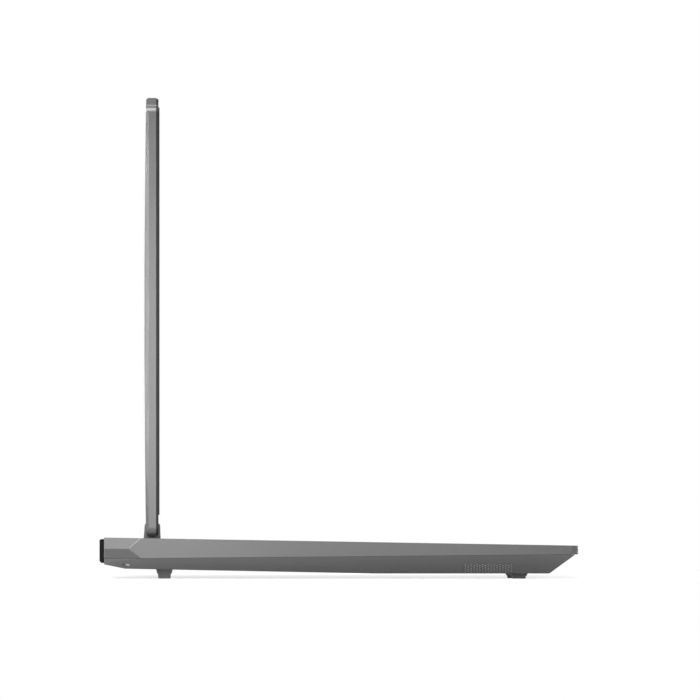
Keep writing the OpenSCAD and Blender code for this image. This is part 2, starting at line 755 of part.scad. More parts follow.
// Circuit board with its chips, hung from the bosses under the keyboard
board_t = 1.2;
board_drop = key_bed + 1.4;
board_x = fan_x - fan_r - 4;
board_back_y = case_back_y - 19;
board_mid_y = case_back_y - 93;
board_front_y = case_back_y - 142;
board_wing_x = 125;
chips_y = case_back_y - fan_back_d - 6;
cpu_x = -18;
gpu_x = 26;
chip_w = 30;
chip_h = 0.9;
regulator_pitch = 18;
module motherboard() {
  under = -board_drop - board_t;
  color("#1f3a2c") on_deck() difference() {
    union() {
      translate([-board_x, board_mid_y - 1, under])
        cube([2 * board_x, board_back_y - board_mid_y + 1, board_t]);
      translate([-board_wing_x, board_front_y, under])
        cube([2 * board_wing_x, board_mid_y - board_front_y, board_t]);
      for (x = [cpu_x, gpu_x])
        translate([x - chip_w / 2, chips_y, under - chip_h]) cube([chip_w, 24, chip_h + tiny]);
      for (i = [0:6])
        translate([-58 + i * regulator_pitch, chips_y + 29, under - 1.6]) cube([7, 7, 1.6 + tiny]);
    }
    for (p = screw_places) translate([p.x, p.y, -40]) cylinder(h = 60, r = boss_r + 0.3);
  }
}
chip_z = -board_drop - board_t - chip_h;
pipe_h = 2.2;
plate_thick = 1;
module cold_plate() {
  color("#b87333") on_deck()
    translate([cpu_x - chip_w / 2 - 4, chips_y - 3, chip_z - plate_thick])
      cube([gpu_x - cpu_x + chip_w + 8, 30, plate_thick]);
}

// Flattened heat pipes from the cold plate, round the fans, to both heatsinks
pipe_w = 4.6;
pipe_pitch = 5.4;
pipe_z = chip_z - plate_thick - pipe_h;
sink_back = 2.4;
sink_y = case_back_y - sink_back - sink_d;
pipe_end = fan_x + sink_w / 2 - 5;
function ease(t) = t <= 0 ? 0 : t >= 1 ? 1 : t * t * (3 - 2 * t);
function pipe_y(x, i) =
  let (bend = 16, x0 = board_x - 28.6 + (2 - i) * 6)
  let (y0 = chips_y + 3 + i * 8, y1 = sink_y + 2.7 + i * pipe_pitch)
  y0 + (y1 - y0) * ease((abs(x) - x0) / bend);
module heat_pipes() {
  steps = [for (t = [-1:0.0125:1]) t * pipe_end];
  color("#b87333") on_deck() for (i = [0:2])
    translate([0, 0, pipe_z]) linear_extrude(height = pipe_h) polygon(concat(
      [for (x = steps) pipe_edge(x, i, pipe_w / 2)],
      [for (k = [len(steps) - 1:-1:0]) pipe_edge(steps[k], i, -pipe_w / 2)]
    ));
}

// Point beside a pipe's middle line, square to it
function pipe_edge(x, i, off) =
  let (d = [0.2, pipe_y(x + 0.1, i) - pipe_y(x - 0.1, i)])
  [x, pipe_y(x, i)] + off * [-d.y, d.x] / norm(d);

// Blower housing: a round case with an intake below and an outlet at the heatsink
fan_y = case_back_y - fan_back_d;
fan_top = -key_bed - key_plate_t - 0.3;
fan_skin = 0.6;
fan_wall_gap = 1.9;
eye_r = 19;
axle_r = 1.6;
hub_r = 11;
module fan_housing(s) {
  outer = fan_r + fan_wall_gap + 1;
  duct_l = sink_y - 0.3 - fan_y;
  color("#2a2b2d") on_deck() translate([s * fan_x, fan_y, fan_top - fan_h]) difference() {
    linear_extrude(height = fan_h) fan_outline(outer, duct_l);
    translate([0, 0, fan_skin]) linear_extrude(height = fan_h - 2 * fan_skin)
      difference() {
        fan_outline(outer - 1, duct_l + 1);
        circle(r = axle_r);
      }
    translate([0, 0, -1]) linear_extrude(height = fan_skin + 2) difference() {
      circle(r = eye_r);
      circle(r = 4);
      for (a = [0:120:240]) rotate(a) translate([0, -1.2]) square([eye_r + 1, 2.4]);
    }
  }
}
module fan_outline(r, l) {
  circle(r = r, $fn = 96);
  translate([-r, 0]) square([2 * r, l]);
}

// Rotor: a hub and curved blades held by a thin ring
module fan_rotor(s) {
  rotor_h = fan_h - 2 * fan_skin - 1.2;
  color("#17181a") on_deck() translate([s * fan_x, fan_y, fan_top - fan_h + fan_skin + 0.6])
    difference() {
      union() {
        cylinder(h = rotor_h, r = hub_r);
        translate([0, 0, rotor_h / 2 - 0.4]) difference() {
          cylinder(h = 0.8, r = fan_r - 3);
          translate([0, 0, -1]) cylinder(h = 3, r = fan_r - 5);
        }
        for (i = [0:fan_blades - 1]) rotate(i * 360 / fan_blades)
          translate([0, 0, 0.4]) linear_extrude(height = rotor_h - 0.8) fan_blade();
      }
      translate([0, 0, -1]) cylinder(h = rotor_h + 2, r = axle_r + 0.06);
    }
}
module fan_blade() {
  t = 0.35;
  sweep = 24;
  radii = [for (k = [0:4]) hub_r - 0.5 + (fan_r - hub_r + 0.5) * k / 4];
  function at(k, off) =
    let (a = sweep * pow(k / 4, 2))
    [radii[k] * cos(a) - off * sin(a), radii[k] * sin(a) + off * cos(a)];
  polygon(concat([for (k = [0:4]) at(k, -t)], [for (k = [4:-1:0]) at(k, t)]));
}

// Heatsink: fins between a roof and the heat pipes
module heatsink(s) {
  top = -wall - 2.1;
  fins = floor(sink_w / fin_pitch);
  h = top - (chip_z - plate_thick);
  color("silver") on_deck() translate([s * fan_x, sink_y, top - h]) {
    translate([-sink_w / 2, 0, h - 0.5]) cube([sink_w, sink_d, 0.5]);
    translate([-sink_w / 2, 0, 0]) cube([sink_w, sink_d, 0.5]);
    for (i = [0:fins])
      translate([(i - fins / 2) * fin_pitch - 0.2, 0, 0.2]) cube([0.4, sink_d, h - 0.4]);
  }
}

// Flat battery pack of four cells in a tray, on the bottom plate
pack_gap = 0.3;
inner_z = plate_z + wall + pack_gap;
module battery() {
  w = 2 * (half_w - 65.93);
  d = 60;
  cells = 4;
  color("#1b1c1e") translate([0, front_y + 30, inner_z]) {
    translate([-w / 2, 0, 0]) cube([w, d, 1]);
    for (i = [0:cells - 1])
      translate([-w / 2 + 2 + i * (w - 4) / cells + 0.6, 1.5, 1 - tiny])
        cube([(w - 4) / cells - 1.2, d - 3, 6]);
    translate([-30, d - tiny, 0]) cube([60, 6, 3]);
  }
}

// Cards on the underside of the board, each with its socket
module card(x, y, w, d, socket_w, drop) {
  under = -board_drop - board_t;
  color("#24402f") on_deck() {
    translate([x, y, under - drop]) cube([w, d, 0.8]);
    translate([x, y + d - 4, under - drop]) cube([socket_w, 4, drop]);
  }
}
drive_x = -board_wing_x + 15;
drive_l = 80;
drive_w = 22;
drive_drop = 3;
module solid_state_drive() {
  under = -board_drop - board_t;
  socket_l = 5;
  color("#1c1d20") on_deck() translate([drive_x, board_front_y + 6, under]) {
    translate([0, 0, -drive_drop]) cube([drive_l, drive_w, 0.8]);
    translate([drive_l - socket_l, 0, -drive_drop]) cube([socket_l, drive_w, drive_drop]);
    for (x = [6, 28, 48]) translate([x, 3, -2.3]) cube([15, drive_w - 6, 1.2]);
  }
}
memory_w = 69.6;
memory_d = 30;
memory_x = board_wing_x - 1.4 - memory_w;
module memory_modules() {
  for (x = [memory_x, memory_x - memory_w - 2.4])
    card(x, board_front_y + 2, memory_w, memory_d, memory_w, 4);
}
wireless_w = 22;
module wireless_card() {
  card(drive_x, board_front_y + memory_d + 2, wireless_w, 14, wireless_w, 2.6);
}

// Loudspeaker box beside the battery, with its driver facing the side grille
speaker_side_d = 22.93;
module speaker(s) {
  w = 34;
  d = 34;
  x0 = half_w - speaker_side_d - w;
  h = 5.6;
  color("#232427") mirrored(s) translate([x0, front_y + speaker_front_d - d / 2, inner_z])
    difference() {
      cube([w, d, h]);
      translate([w / 2, d / 2, h - 0.8]) cylinder(h = 1, r = 11);
    }
}

// Strip foot: a wide hard upper part and a narrower rubber tread
module foot_strip(y, w, l, x, rise) {
  top_w = w / 2;
  tread_w = w / 2 - 1.2;
  neck = 1.2;
  translate([x - l / 2, 0, 0]) rotate([90, 0, 90]) linear_extrude(height = l)
    polygon([[y - tread_w, 0], [y + tread_w, 0], [y + tread_w + 0.2, neck + rise],
             [y + tread_w + 0.6, neck + rise], [y + top_w, plate_h(y + top_w)],
             [y - top_w, plate_h(y - top_w)], [y - tread_w - 0.6, neck + rise],
             [y - tread_w - 0.2, neck + rise]]);
}
module rear_foot() {
  color("#4a4b4d")
    foot_strip(grille_back_y - rear_foot_d, rear_foot_w, 2 * rear_foot_x, 0, 1.4);
}
module front_feet() {
  color("#3c3d3f") for (s = [-1, 1])
    foot_strip(front_y + front_foot_d, front_foot_w, front_foot_l, s * front_foot_x, 0.3);
}

// Countersunk screws in the bottom cover
module bottom_screws() {
  color("#3a3b3d") for (p = screw_places) translate([p.x, p.y, plate_h(p.y)])
    difference() {
      union() {
        translate([0, 0, screw_sink]) cylinder(h = screw_head_h, r = screw_head_r);
        translate([0, 0, screw_sink]) cylinder(h = wall + 5, r = screw_r);
      }
      cylinder(h = 0.9, r = 1.1, $fn = 6);
    }
}

// Sockets in the back, each a shell that is open to the rear
module socket(x, w, h, l, t, tongue_w, tongue_h, tongue_y) {
  at_rear(x) translate([0, -0.2, 0]) {
    difference() {
      translate([-w / 2, -l, -h / 2]) cube([w, l, h]);
      translate([-w / 2 + t, -l + 1, -h / 2 + t]) cube([w - 2 * t, l, h - 2 * t]);
    }
    translate([-tongue_w / 2, -l + 0.5, tongue_y - tongue_h / 2]) cube([tongue_w, l - 2.5, tongue_h]);
  }
}
module usb_c_port() {
  color("silver") at_rear(usb_c_x) translate([0, -0.2, 0]) {
    rotate([90, 0, 0]) linear_extrude(height = port_l) difference() {
      rounded(usb_c_w, usb_c_h, usb_c_h / 2 - tiny);
      rounded(usb_c_w - 0.6, usb_c_h - 0.6, usb_c_h / 2 - 0.3 - tiny);
    }
    translate([-usb_c_w / 2 + 1, -port_l, -usb_c_h / 2 + 0.15]) cube([usb_c_w - 2, 1, usb_c_h - 0.3]);
    translate([-3.2, -port_l, -0.35]) cube([6.4, port_l - 1.5, 0.7]);
  }
}
module usb_a_ports() {
  color("silver") for (x = usb_x) socket(x, usb_w, usb_h, port_l + 3, 0.5, 11, 1.8, 1.1);
}
module hdmi_port() {
  color("silver") socket(hdmi_x, hdmi_w, hdmi_h, port_l, 0.5, 10.4, 1, 0.2);
}
module ethernet_port() {
  color("#303134") at_rear(lan_x) translate([0, -0.2, 0]) difference() {
    translate([-lan_w / 2, -lan_l, -lan_h / 2]) cube([lan_w, lan_l, lan_h]);
    translate([-lan_open_w / 2, -lan_open_l, -lan_open_h / 2])
      cube([lan_open_w, lan_open_l + 1, lan_open_h]);
    translate([-3.2, -lan_open_l, -lan_open_h / 2 - 1]) cube([6.4, lan_open_l + 1, 2]);
  }
}
module power_inlet() {
  color("#303134") at_rear(power_x) translate([0, -0.2, 0]) {
    difference() {
      translate([-inlet_w / 2, -port_l, -inlet_h / 2]) cube([inlet_w, port_l, inlet_h]);
      translate([-inlet_w / 2 + 1.2, -port_l + 1.5, -inlet_h / 2 + 1.2])
        cube([inlet_w - 2.4, port_l, inlet_h - 2.4]);
    }
    translate([0, -port_l + 1, 0]) rotate([-90, 0, 0]) cylinder(h = port_l - 3.5, r = 0.6);
  }
}

// Sockets and switch in the right side
module side_usb_port() {
  l = 15;
  recess = 0.5;
  color("silver") on_side(side_usb_d) translate([-recess - l, 0, 0]) {
    difference() {
      translate([0, -usb_w / 2, -usb_h / 2]) cube([l, usb_w, usb_h]);
      translate([1, -usb_w / 2 + 0.5, -usb_h / 2 + 0.5]) cube([l, usb_w - 1, usb_h - 1]);
    }
    translate([0.5, -5.5, 0.2]) cube([l - 2.5, 11, 1.8]);
  }
}
module audio_jack() {
  recess = 0.5;
  color("#303134") on_side(jack_d) translate([-recess - jack_l, 0, 0]) rotate([0, 90, 0])
    difference() {
      union() {
        cylinder(h = jack_l, r = jack_r + 1.3);
        translate([-3.05, -3.6, 0]) cube([6.1, 7.2, jack_l - 2.2]);
      }
      translate([0, 0, 1]) cylinder(h = jack_l, r = jack_r);
    }
}
shutter_travel = 1.8;
module shutter_switch() {
  inner = wall + 0.35;
  color("#303134") on_side(shutter_d) translate([0, -shutter_travel, 0]) {
    translate([-inner - 1.2, -2.1, -0.95]) cube([inner + 0.7, 4.2, 1.9]);
    translate([-inner - 2, -6.6, -2]) cube([1.6, 13.2, 4]);
  }
}

// Lid, drawn upright and square to the table, with its hinge axis at y = z = 0
lid_in = lid_back - lid_crown - lid_wall;
lid_join = bezel_t - lid_front;
lid_top = lid_rise + bump_h;
notch_gap = 0.5;
notch_h = tower_h - hinge_h + 1.65;
cavity_z = notch_h + 1.2;
function cover_y(z) = lid_back - lid_crown * pow((z - lid_rise / 2) / (lid_rise / 2), 2);

module on_lid() {
  translate([0, hinge_y, hinge_z]) children();
}

// Front view of the lid
module lid_outline(inset) {
  w = lid_w - 2 * inset;
  h = lid_rise + lid_drop - 2 * inset;
  translate([0, (lid_rise - lid_drop) / 2]) rounded(w, h, lid_r - inset);
}

// Front view of the camera bump on the lid's upper edge
module bump_outline() {
  base_x = bump_w / 2 + bump_slope;
  translate([0, lid_rise]) polygon([
    [-base_x, -2], [-base_x, 0], [-bump_w / 2, bump_h],
    [bump_w / 2, bump_h], [base_x, 0], [base_x, -2]
  ]);
}

// Side view of the lid: crowned back, chamfered top, rounded foot
module lid_profile() {
  foot_y = cover_y(0) - lid_foot_r;
  front_r = 2.2;
  polygon(concat(
    [for (a = [180:15:270]) [-lid_front + front_r + front_r * cos(a), -lid_drop + front_r + front_r * sin(a)]],
    [for (a = [270:15:360]) [foot_y + lid_foot_r * cos(a), -lid_drop + lid_foot_r + lid_foot_r * sin(a)]],
    [for (k = [1:10]) let (z = (lid_top - 1) * k / 10) [cover_y(z), z]],
    [[cover_y(lid_top) - 1, lid_top], [-lid_front + 1.5, lid_top], [-lid_front, lid_top - 0.9]]
  ));
}

// View of the lid from above: the chamfers down the back's sides
module lid_section() {
  w = lid_w / 2;
  polygon([
    [-w, -lid_front - 1], [w, -lid_front - 1], [w, lid_back - 1.5 - lid_chamfer],
    [w - lid_chamfer, lid_back - 0.5], [w - lid_chamfer - 0.3, lid_back + 1],
    [-w + lid_chamfer + 0.3, lid_back + 1], [-w + lid_chamfer, lid_back - 0.5],
    [-w, lid_back - 1.5 - lid_chamfer]
  ]);
}

// The whole lid as one solid, with notches round the hinge towers
module lid_form() {
  difference() {
    intersection() {
      translate([0, 20, 0]) rotate([90, 0, 0]) union() {
        linear_extrude(height = 40) lid_outline(0);
        linear_extrude(height = 40) bump_outline();
      }
      translate([-reach / 2, 0, 0]) rotate([90, 0, 90]) linear_extrude(height = reach) lid_profile();
      translate([0, 0, -20]) linear_extrude(height = lid_top + 40) lid_section();
    }
    for (s = [-1, 1])
      translate([s * tower_x - tower_w / 2 - notch_gap, -20, -20])
        cube([tower_w + 2 * notch_gap, 40, 20 + notch_h]);
  }
}
module lid_cover() {
  rim = 1.4;
  color("gray") on_lid() difference() {
    lid_form();
    translate([-reach / 2, lid_join - reach, -50]) cube([reach, reach, reach]);
    intersection() {
      translate([0, lid_in, 0]) rotate([90, 0, 0]) linear_extrude(height = 10) lid_outline(rim);
      translate([-reach / 2, -10, cavity_z]) cube([reach, 20, reach]);
    }
    for (s = [-1, 1]) mirrored(s)
      translate([tower_x - tower_w / 2 - arm_w - 1.3, -10, -pin_r - 0.3])
        cube([arm_w + 1, 10 + lid_in, cavity_z + pin_r + 0.4]);
    camera_hole();
  }
}
module screen_bezel() {
  color("#2b2c2f") on_lid() difference() {
    lid_form();
    translate([-reach / 2, lid_join, -50]) cube([reach, reach, reach]);
    translate([-screen_w / 2, -20, chin]) cube([screen_w, 40, screen_h]);
    camera_hole();
  }
}
lens_r = 2.1;
camera_z = lid_rise - brow / 2 + 0.8;
module camera_hole() {
  translate([0, -20, camera_z]) rotate([-90, 0, 0]) cylinder(h = 20 + lid_join + 1.2, r = lens_r + 0.1);
}
module screen_panel() {
  w = screen_w + 2 * panel_border;
  h = screen_h + 2 * panel_border;
  color("#101114") on_lid()
    translate([-w / 2, lid_join, chin - panel_border]) cube([w, panel_t, h]);
}
module bezel_gasket() {
  edge = 1.3;
  w = lid_w - 2 * edge;
  z0 = gasket_h;
  h = lid_rise - edge - z0;
  color("#303134") on_lid() translate([0, -lid_front, z0 + h / 2]) rotate([90, 0, 0])
    linear_extrude(height = gasket_t) difference() {
      rounded(w, h, lid_r - edge);
      rounded(w - 2 * gasket_w, h - 2 * gasket_w, lid_r - edge - gasket_w);
    }
}
module camera_module() {
  color("#0c0d10") on_lid() translate([0, -lid_front + 0.25, camera_z]) rotate([-90, 0, 0]) {
    cylinder(h = 2, r = lens_r);
    translate([0, 0, bezel_t - 0.25]) translate([-4, -1.6, 0]) cube([8, 3.2, 0.7]);
  }
}
module display_cable() {
  z1 = chin - panel_border;
  gap = 0.4;
  ribbon_w = 18;
  color("#1a1b1d") on_lid() translate([-tower_x / 2 - 4, lid_join + gap, cavity_z + gap])
    cube([ribbon_w, 0.5, z1 - cavity_z - gap]);
}

bottom_cover();
top_case();
rear_grille();
hinge_tower(-1);  // hinge_tower_left
hinge_tower(1);  // hinge_tower_right
hinge_bracket(-1);  // hinge_bracket_left
hinge_bracket(1);  // hinge_bracket_right
hinge_arm(-1);  // hinge_arm_left
hinge_arm(1);  // hinge_arm_right
keyboard_frame();
keyboard_plate();
keycaps(row_keys(0));  // function_keys
keycaps(row_keys(1));  // number_row_keys
keycaps(row_keys(2));  // upper_row_keys
keycaps(row_keys(3));  // home_row_keys
keycaps(row_keys(4));  // lower_row_keys
keycaps(mod_keys);  // modifier_keys
keycaps(space_key);  // space_bar
keycaps(arrow_list);  // arrow_keys
keycaps(pad_keys);  // number_pad_keys
touchpad();
power_button();
motherboard();
cold_plate();
heat_pipes();
fan_housing(-1);  // fan_housing_left
fan_housing(1);  // fan_housing_right
fan_rotor(-1);  // fan_rotor_left
fan_rotor(1);  // fan_rotor_right
heatsink(-1);  // heatsink_left
heatsink(1);  // heatsink_right
battery();
solid_state_drive();
memory_modules();
wireless_card();
speaker(-1);  // speaker_left
speaker(1);  // speaker_right
speaker_grille(-1);  // speaker_grille_left
speaker_grille(1);  // speaker_grille_right
rear_foot();
front_feet();
bottom_screws();
usb_c_port();
usb_a_ports();
hdmi_port();
ethernet_port();
power_inlet();
side_usb_port();
audio_jack();
shutter_switch();
lid_cover();
screen_bezel();
screen_panel();
bezel_gasket();
camera_module();
display_cable();
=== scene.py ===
# %% [markdown]
# # A laptop with its lid upright
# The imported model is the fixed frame: every shape that moves or fits is already in it, in metres, with
# +Z up, +X to the user's right and the front lip at -Y. This lesson gives each piece its finish. It adds
# rounded edges, dished keycaps, key legends, speaker cloth, small fittings and a studio. It changes no size.

import json
import math

import bmesh
import bpy
import numpy as np
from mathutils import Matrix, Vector
from mathutils.bvhtree import BVHTree


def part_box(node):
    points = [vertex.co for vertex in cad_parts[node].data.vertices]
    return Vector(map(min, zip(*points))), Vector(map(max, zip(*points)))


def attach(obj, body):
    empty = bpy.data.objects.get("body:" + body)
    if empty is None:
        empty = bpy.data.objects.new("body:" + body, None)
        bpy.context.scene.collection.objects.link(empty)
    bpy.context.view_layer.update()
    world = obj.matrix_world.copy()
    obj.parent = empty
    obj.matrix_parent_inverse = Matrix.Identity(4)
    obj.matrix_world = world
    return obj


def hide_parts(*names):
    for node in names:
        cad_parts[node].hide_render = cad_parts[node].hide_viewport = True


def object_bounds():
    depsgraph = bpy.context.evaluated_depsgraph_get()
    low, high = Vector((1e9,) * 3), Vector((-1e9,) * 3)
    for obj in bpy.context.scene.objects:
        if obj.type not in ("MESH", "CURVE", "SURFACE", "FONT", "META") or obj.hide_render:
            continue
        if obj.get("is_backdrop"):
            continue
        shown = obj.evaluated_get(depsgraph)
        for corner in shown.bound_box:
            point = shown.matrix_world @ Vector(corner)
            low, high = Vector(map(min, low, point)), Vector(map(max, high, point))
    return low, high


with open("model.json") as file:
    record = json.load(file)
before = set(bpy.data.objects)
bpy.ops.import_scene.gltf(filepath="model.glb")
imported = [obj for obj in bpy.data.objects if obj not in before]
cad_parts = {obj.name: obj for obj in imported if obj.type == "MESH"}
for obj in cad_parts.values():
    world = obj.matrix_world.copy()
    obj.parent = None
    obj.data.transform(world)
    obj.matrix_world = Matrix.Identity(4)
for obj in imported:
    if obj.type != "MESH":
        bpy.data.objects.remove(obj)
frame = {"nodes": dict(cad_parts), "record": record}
cad_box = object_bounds()
MM = 0.001
WELD = 0.002 * MM
SIDES = ((-1, "left"), (1, "right"))
NODES = frame["nodes"]
BODY_OF = {node: body for body, names in frame["record"]["behaviour"]["bodies"].items() for node in names}
SLOT_OF = {row["node"]: row["material_slot"] for row in frame["record"]["subparts"]}

# %% [markdown]
# ## Shared surface effects
# Moulded plastic, paint and metal share two effects: a fine grain that breaks up highlights, and a slow
# drift in gloss from handling. Both could be drawn as images, but noise on Object coordinates has no seams
# and keeps its scale in metres. Each effect is one shader node group, so that every finish can use it with
# its own numbers.

# %% Node group helpers


def new_group(name, inputs, outputs):
    """A shader node group with float inputs {name: default} and outputs {name: socket type}."""
    group = bpy.data.node_groups.new(name, "ShaderNodeTree")
    for label, default in inputs.items():
        socket = group.interface.new_socket(label, in_out="INPUT", socket_type="NodeSocketFloat")
        socket.default_value = default
    for label, kind in outputs.items():
        group.interface.new_socket(label, in_out="OUTPUT", socket_type=kind)
    return group, group.nodes.new("NodeGroupInput"), group.nodes.new("NodeGroupOutput")


def math_node(tree, operation, first, second):
    """A Math node whose inputs are sockets or plain numbers. Returns its output."""
    node = tree.nodes.new("ShaderNodeMath")
    node.operation = operation
    for place, value in enumerate((first, second)):
        if isinstance(value, (int, float)):
            node.inputs[place].default_value = value
        else:
            tree.links.new(value, node.inputs[place])
    return node.outputs[0]


def noise_node(tree, scale, detail):
    """Noise on Object coordinates, so that a pattern stays still on its piece. scale is a socket."""
    place = tree.nodes.new("ShaderNodeTexCoord").outputs["Object"]
    node = tree.nodes.new("ShaderNodeTexNoise")
    node.inputs["Detail"].default_value = detail
    tree.links.new(place, node.inputs["Vector"])
    tree.links.new(scale, node.inputs["Scale"])
    return node.outputs["Fac"]


# %% The grain group
grain, grain_in, grain_out = new_group(
    "Fine Grain",
    {"Grains Per Metre": 2500.0, "Depth": 0.00002, "Strength": 0.3, "Speckle": 0.05},
    {"Normal": "NodeSocketVector", "Brightness": "NodeSocketFloat"},
)
grain_value = noise_node(grain, grain_in.outputs["Grains Per Metre"], detail=2.0)
grain_bump = grain.nodes.new("ShaderNodeBump")
grain.links.new(grain_value, grain_bump.inputs["Height"])
grain.links.new(grain_in.outputs["Depth"], grain_bump.inputs["Distance"])
grain.links.new(grain_in.outputs["Strength"], grain_bump.inputs["Strength"])
grain.links.new(grain_bump.outputs["Normal"], grain_out.inputs["Normal"])
centred = math_node(grain, "SUBTRACT", grain_value, 0.5)
speckle = math_node(grain, "MULTIPLY", centred, grain_in.outputs["Speckle"])
grain.links.new(math_node(grain, "ADD", speckle, 1.0), grain_out.inputs["Brightness"])
print("group:", grain.name, len(grain.nodes), "nodes")

# %% The handling group
handling, handling_in, handling_out = new_group(
    "Handling Drift",
    {"Patches Per Metre": 14.0, "Roughness": 0.45, "Drift": 0.08},
    {"Roughness": "NodeSocketFloat"},
)
patches = noise_node(handling, handling_in.outputs["Patches Per Metre"], detail=4.0)
uneven = math_node(handling, "SUBTRACT", patches, 0.5)
drift = math_node(handling, "MULTIPLY", uneven, handling_in.outputs["Drift"])
drifting = math_node(handling, "ADD", drift, handling_in.outputs["Roughness"])
handling.links.new(drifting, handling_out.inputs["Roughness"])
print("group:", handling.name, len(handling.nodes), "nodes")

# %% [markdown]
# ## Finishes
# A finish is a Principled shader whose colour is one plain colour multiplied by the grain's brightness. The
# grain also tilts the normal a little, and the handling group moves the roughness. Bare metals set Metallic
# to 1. The painted shells raise it only part of the way, because their satin paint holds some metal flake.

# %% Build a finish


def finish(name, colour, roughness, metallic=0.0, grains=2500.0, depth=0.00002, strength=0.3,
           speckle=0.05, drift=0.08, coat=0.0, specular=0.5):
    """A Principled material with grain and handling drift. colour is linear RGB."""
    material = bpy.data.materials.new(name)
    material.use_nodes = True
    tree = material.node_tree
    shader = tree.nodes["Principled BSDF"]
    shader.inputs["Metallic"].default_value = metallic
    shader.inputs["Coat Weight"].default_value = coat
    shader.inputs["Specular IOR Level"].default_value = specular
    rough = tree.nodes.new("ShaderNodeGroup")
    rough.node_tree = handling
    rough.inputs["Roughness"].default_value = roughness
    rough.inputs["Drift"].default_value = drift
    tree.links.new(rough.outputs["Roughness"], shader.inputs["Roughness"])
    fine = tree.nodes.new("ShaderNodeGroup")
    fine.node_tree = grain
    fine.inputs["Grains Per Metre"].default_value = grains
    fine.inputs["Depth"].default_value = depth
    fine.inputs["Strength"].default_value = strength
    fine.inputs["Speckle"].default_value = speckle
    tint = tree.nodes.new("ShaderNodeVectorMath")
    tint.operation = "SCALE"
    tint.inputs[0].default_value = colour
    tree.links.new(fine.outputs["Brightness"], tint.inputs["Scale"])
    tree.links.new(tint.outputs[0], shader.inputs["Base Color"])
    tree.links.new(fine.outputs["Normal"], shader.inputs["Normal"])
    material.diffuse_color = (*colour, 1.0)
    return material


def grey(level):
    """Linear RGB of a grey given as an sRGB level from 0 to 255, by the sRGB curve."""
    s = level / 255
    linear = s / 12.92 if s <= 0.04045 else ((s + 0.055) / 1.055) ** 2.4
    return (linear, linear, linear)


# %% The finishes of this laptop
CASE = finish("storm grey case", grey(103), 0.42, metallic=0.25, grains=3200, speckle=0.10)
COVER = finish("grey bottom cover", grey(118), 0.5, metallic=0.1, grains=2600, depth=0.00003, speckle=0.08)
LID = finish("storm grey lid", grey(97), 0.36, metallic=0.45, grains=3600, speckle=0.10)
TRIM = finish("black rear trim", grey(9), 0.6, grains=2200, depth=0.00003, specular=0.15)
BEZEL = finish("dark bezel", grey(24), 0.5, grains=2800, specular=0.25)
RUBBER = finish("dark rubber", grey(66), 0.75, grains=1800, depth=0.00004, strength=0.5)
GASKET = finish("gasket rubber", grey(56), 0.7, grains=2000)
KEYCAP = finish("keycap grey", grey(66), 0.55, grains=3000)
FRAME = finish("keyboard frame black", grey(48), 0.5, grains=2600)
TOUCH = finish("touchpad satin", grey(104), 0.42, grains=4200, depth=0.00001, speckle=0.03)
STEEL = finish("nickel plated steel", grey(190), 0.28, metallic=1.0, grains=900, speckle=0.06)
DARK_STEEL = finish("black coated steel", grey(46), 0.4, metallic=0.6)
COPPER = finish("bare copper", (0.66, 0.33, 0.18), 0.3, metallic=1.0, grains=700)
ALUMINIUM = finish("bare aluminium", grey(205), 0.34, metallic=1.0, grains=1200)
BOARD = finish("circuit board green", (0.012, 0.06, 0.035), 0.4, grains=1500, speckle=0.3)
PLASTIC = finish("black moulded plastic", grey(40), 0.5)
# The feet's light grey is painted light: it makes up for the shade under the base.
FOOT_WITH_PAINTED_LIGHT = finish("foot rubber lightened as painted light", grey(205), 0.7, grains=1800, depth=0.00003)
# A lighter colour for the bevels of the cut rear corners: a painted highlight along those creases.
CUT_EDGE_HIGHLIGHT = finish("painted highlight on cut edges", grey(128), 0.4, metallic=0.2, grains=1400, speckle=0.04)
CLOTH = finish("speaker cloth silver", grey(232), 0.6, grains=4000, speckle=0.2)
LEGEND = finish("key legend white", grey(214), 0.5, speckle=0.02)
SCREEN = finish("dark matt screen", grey(20), 0.22, grains=5200, depth=0.000004, strength=0.15, drift=0.02,
                specular=0.35)
LENS = finish("camera glass", grey(10), 0.05, grains=500, strength=0.0, drift=0.0, coat=1.0)
print("materials, with the frame's own:", len(bpy.data.materials))

# %% [markdown]
# ## A finish for every imported piece
# Each piece of the frame takes the finish of its material slot, so that nothing is left bare when a hidden
# part comes into view. The gasket and the frame between the keys are made of something of their own, and the
# feet take a light grey that paints in the light lost to the shade under the base, so a second table names
# them.

# %% Give each node its finish
SLOT_FINISH = {
    "case": CASE, "cover": COVER, "black_trim": TRIM, "lid": LID, "bezel": BEZEL, "panel": SCREEN,
    "lens": LENS, "keys": KEYCAP, "touch": TOUCH, "steel": STEEL, "dark_steel": DARK_STEEL,
    "copper": COPPER, "aluminium": ALUMINIUM, "board": BOARD, "dark_plastic": PLASTIC, "rubber": RUBBER,
}
NODE_FINISH = {"bezel_gasket": GASKET, "keyboard_frame": FRAME, "rear_foot": FOOT_WITH_PAINTED_LIGHT, "front_feet": FOOT_WITH_PAINTED_LIGHT}
for node, obj in NODES.items():
    obj.data.materials.clear()
    obj.data.materials.append(NODE_FINISH.get(node, SLOT_FINISH[SLOT_OF[node]]))
print("finished nodes:", len(NODES))
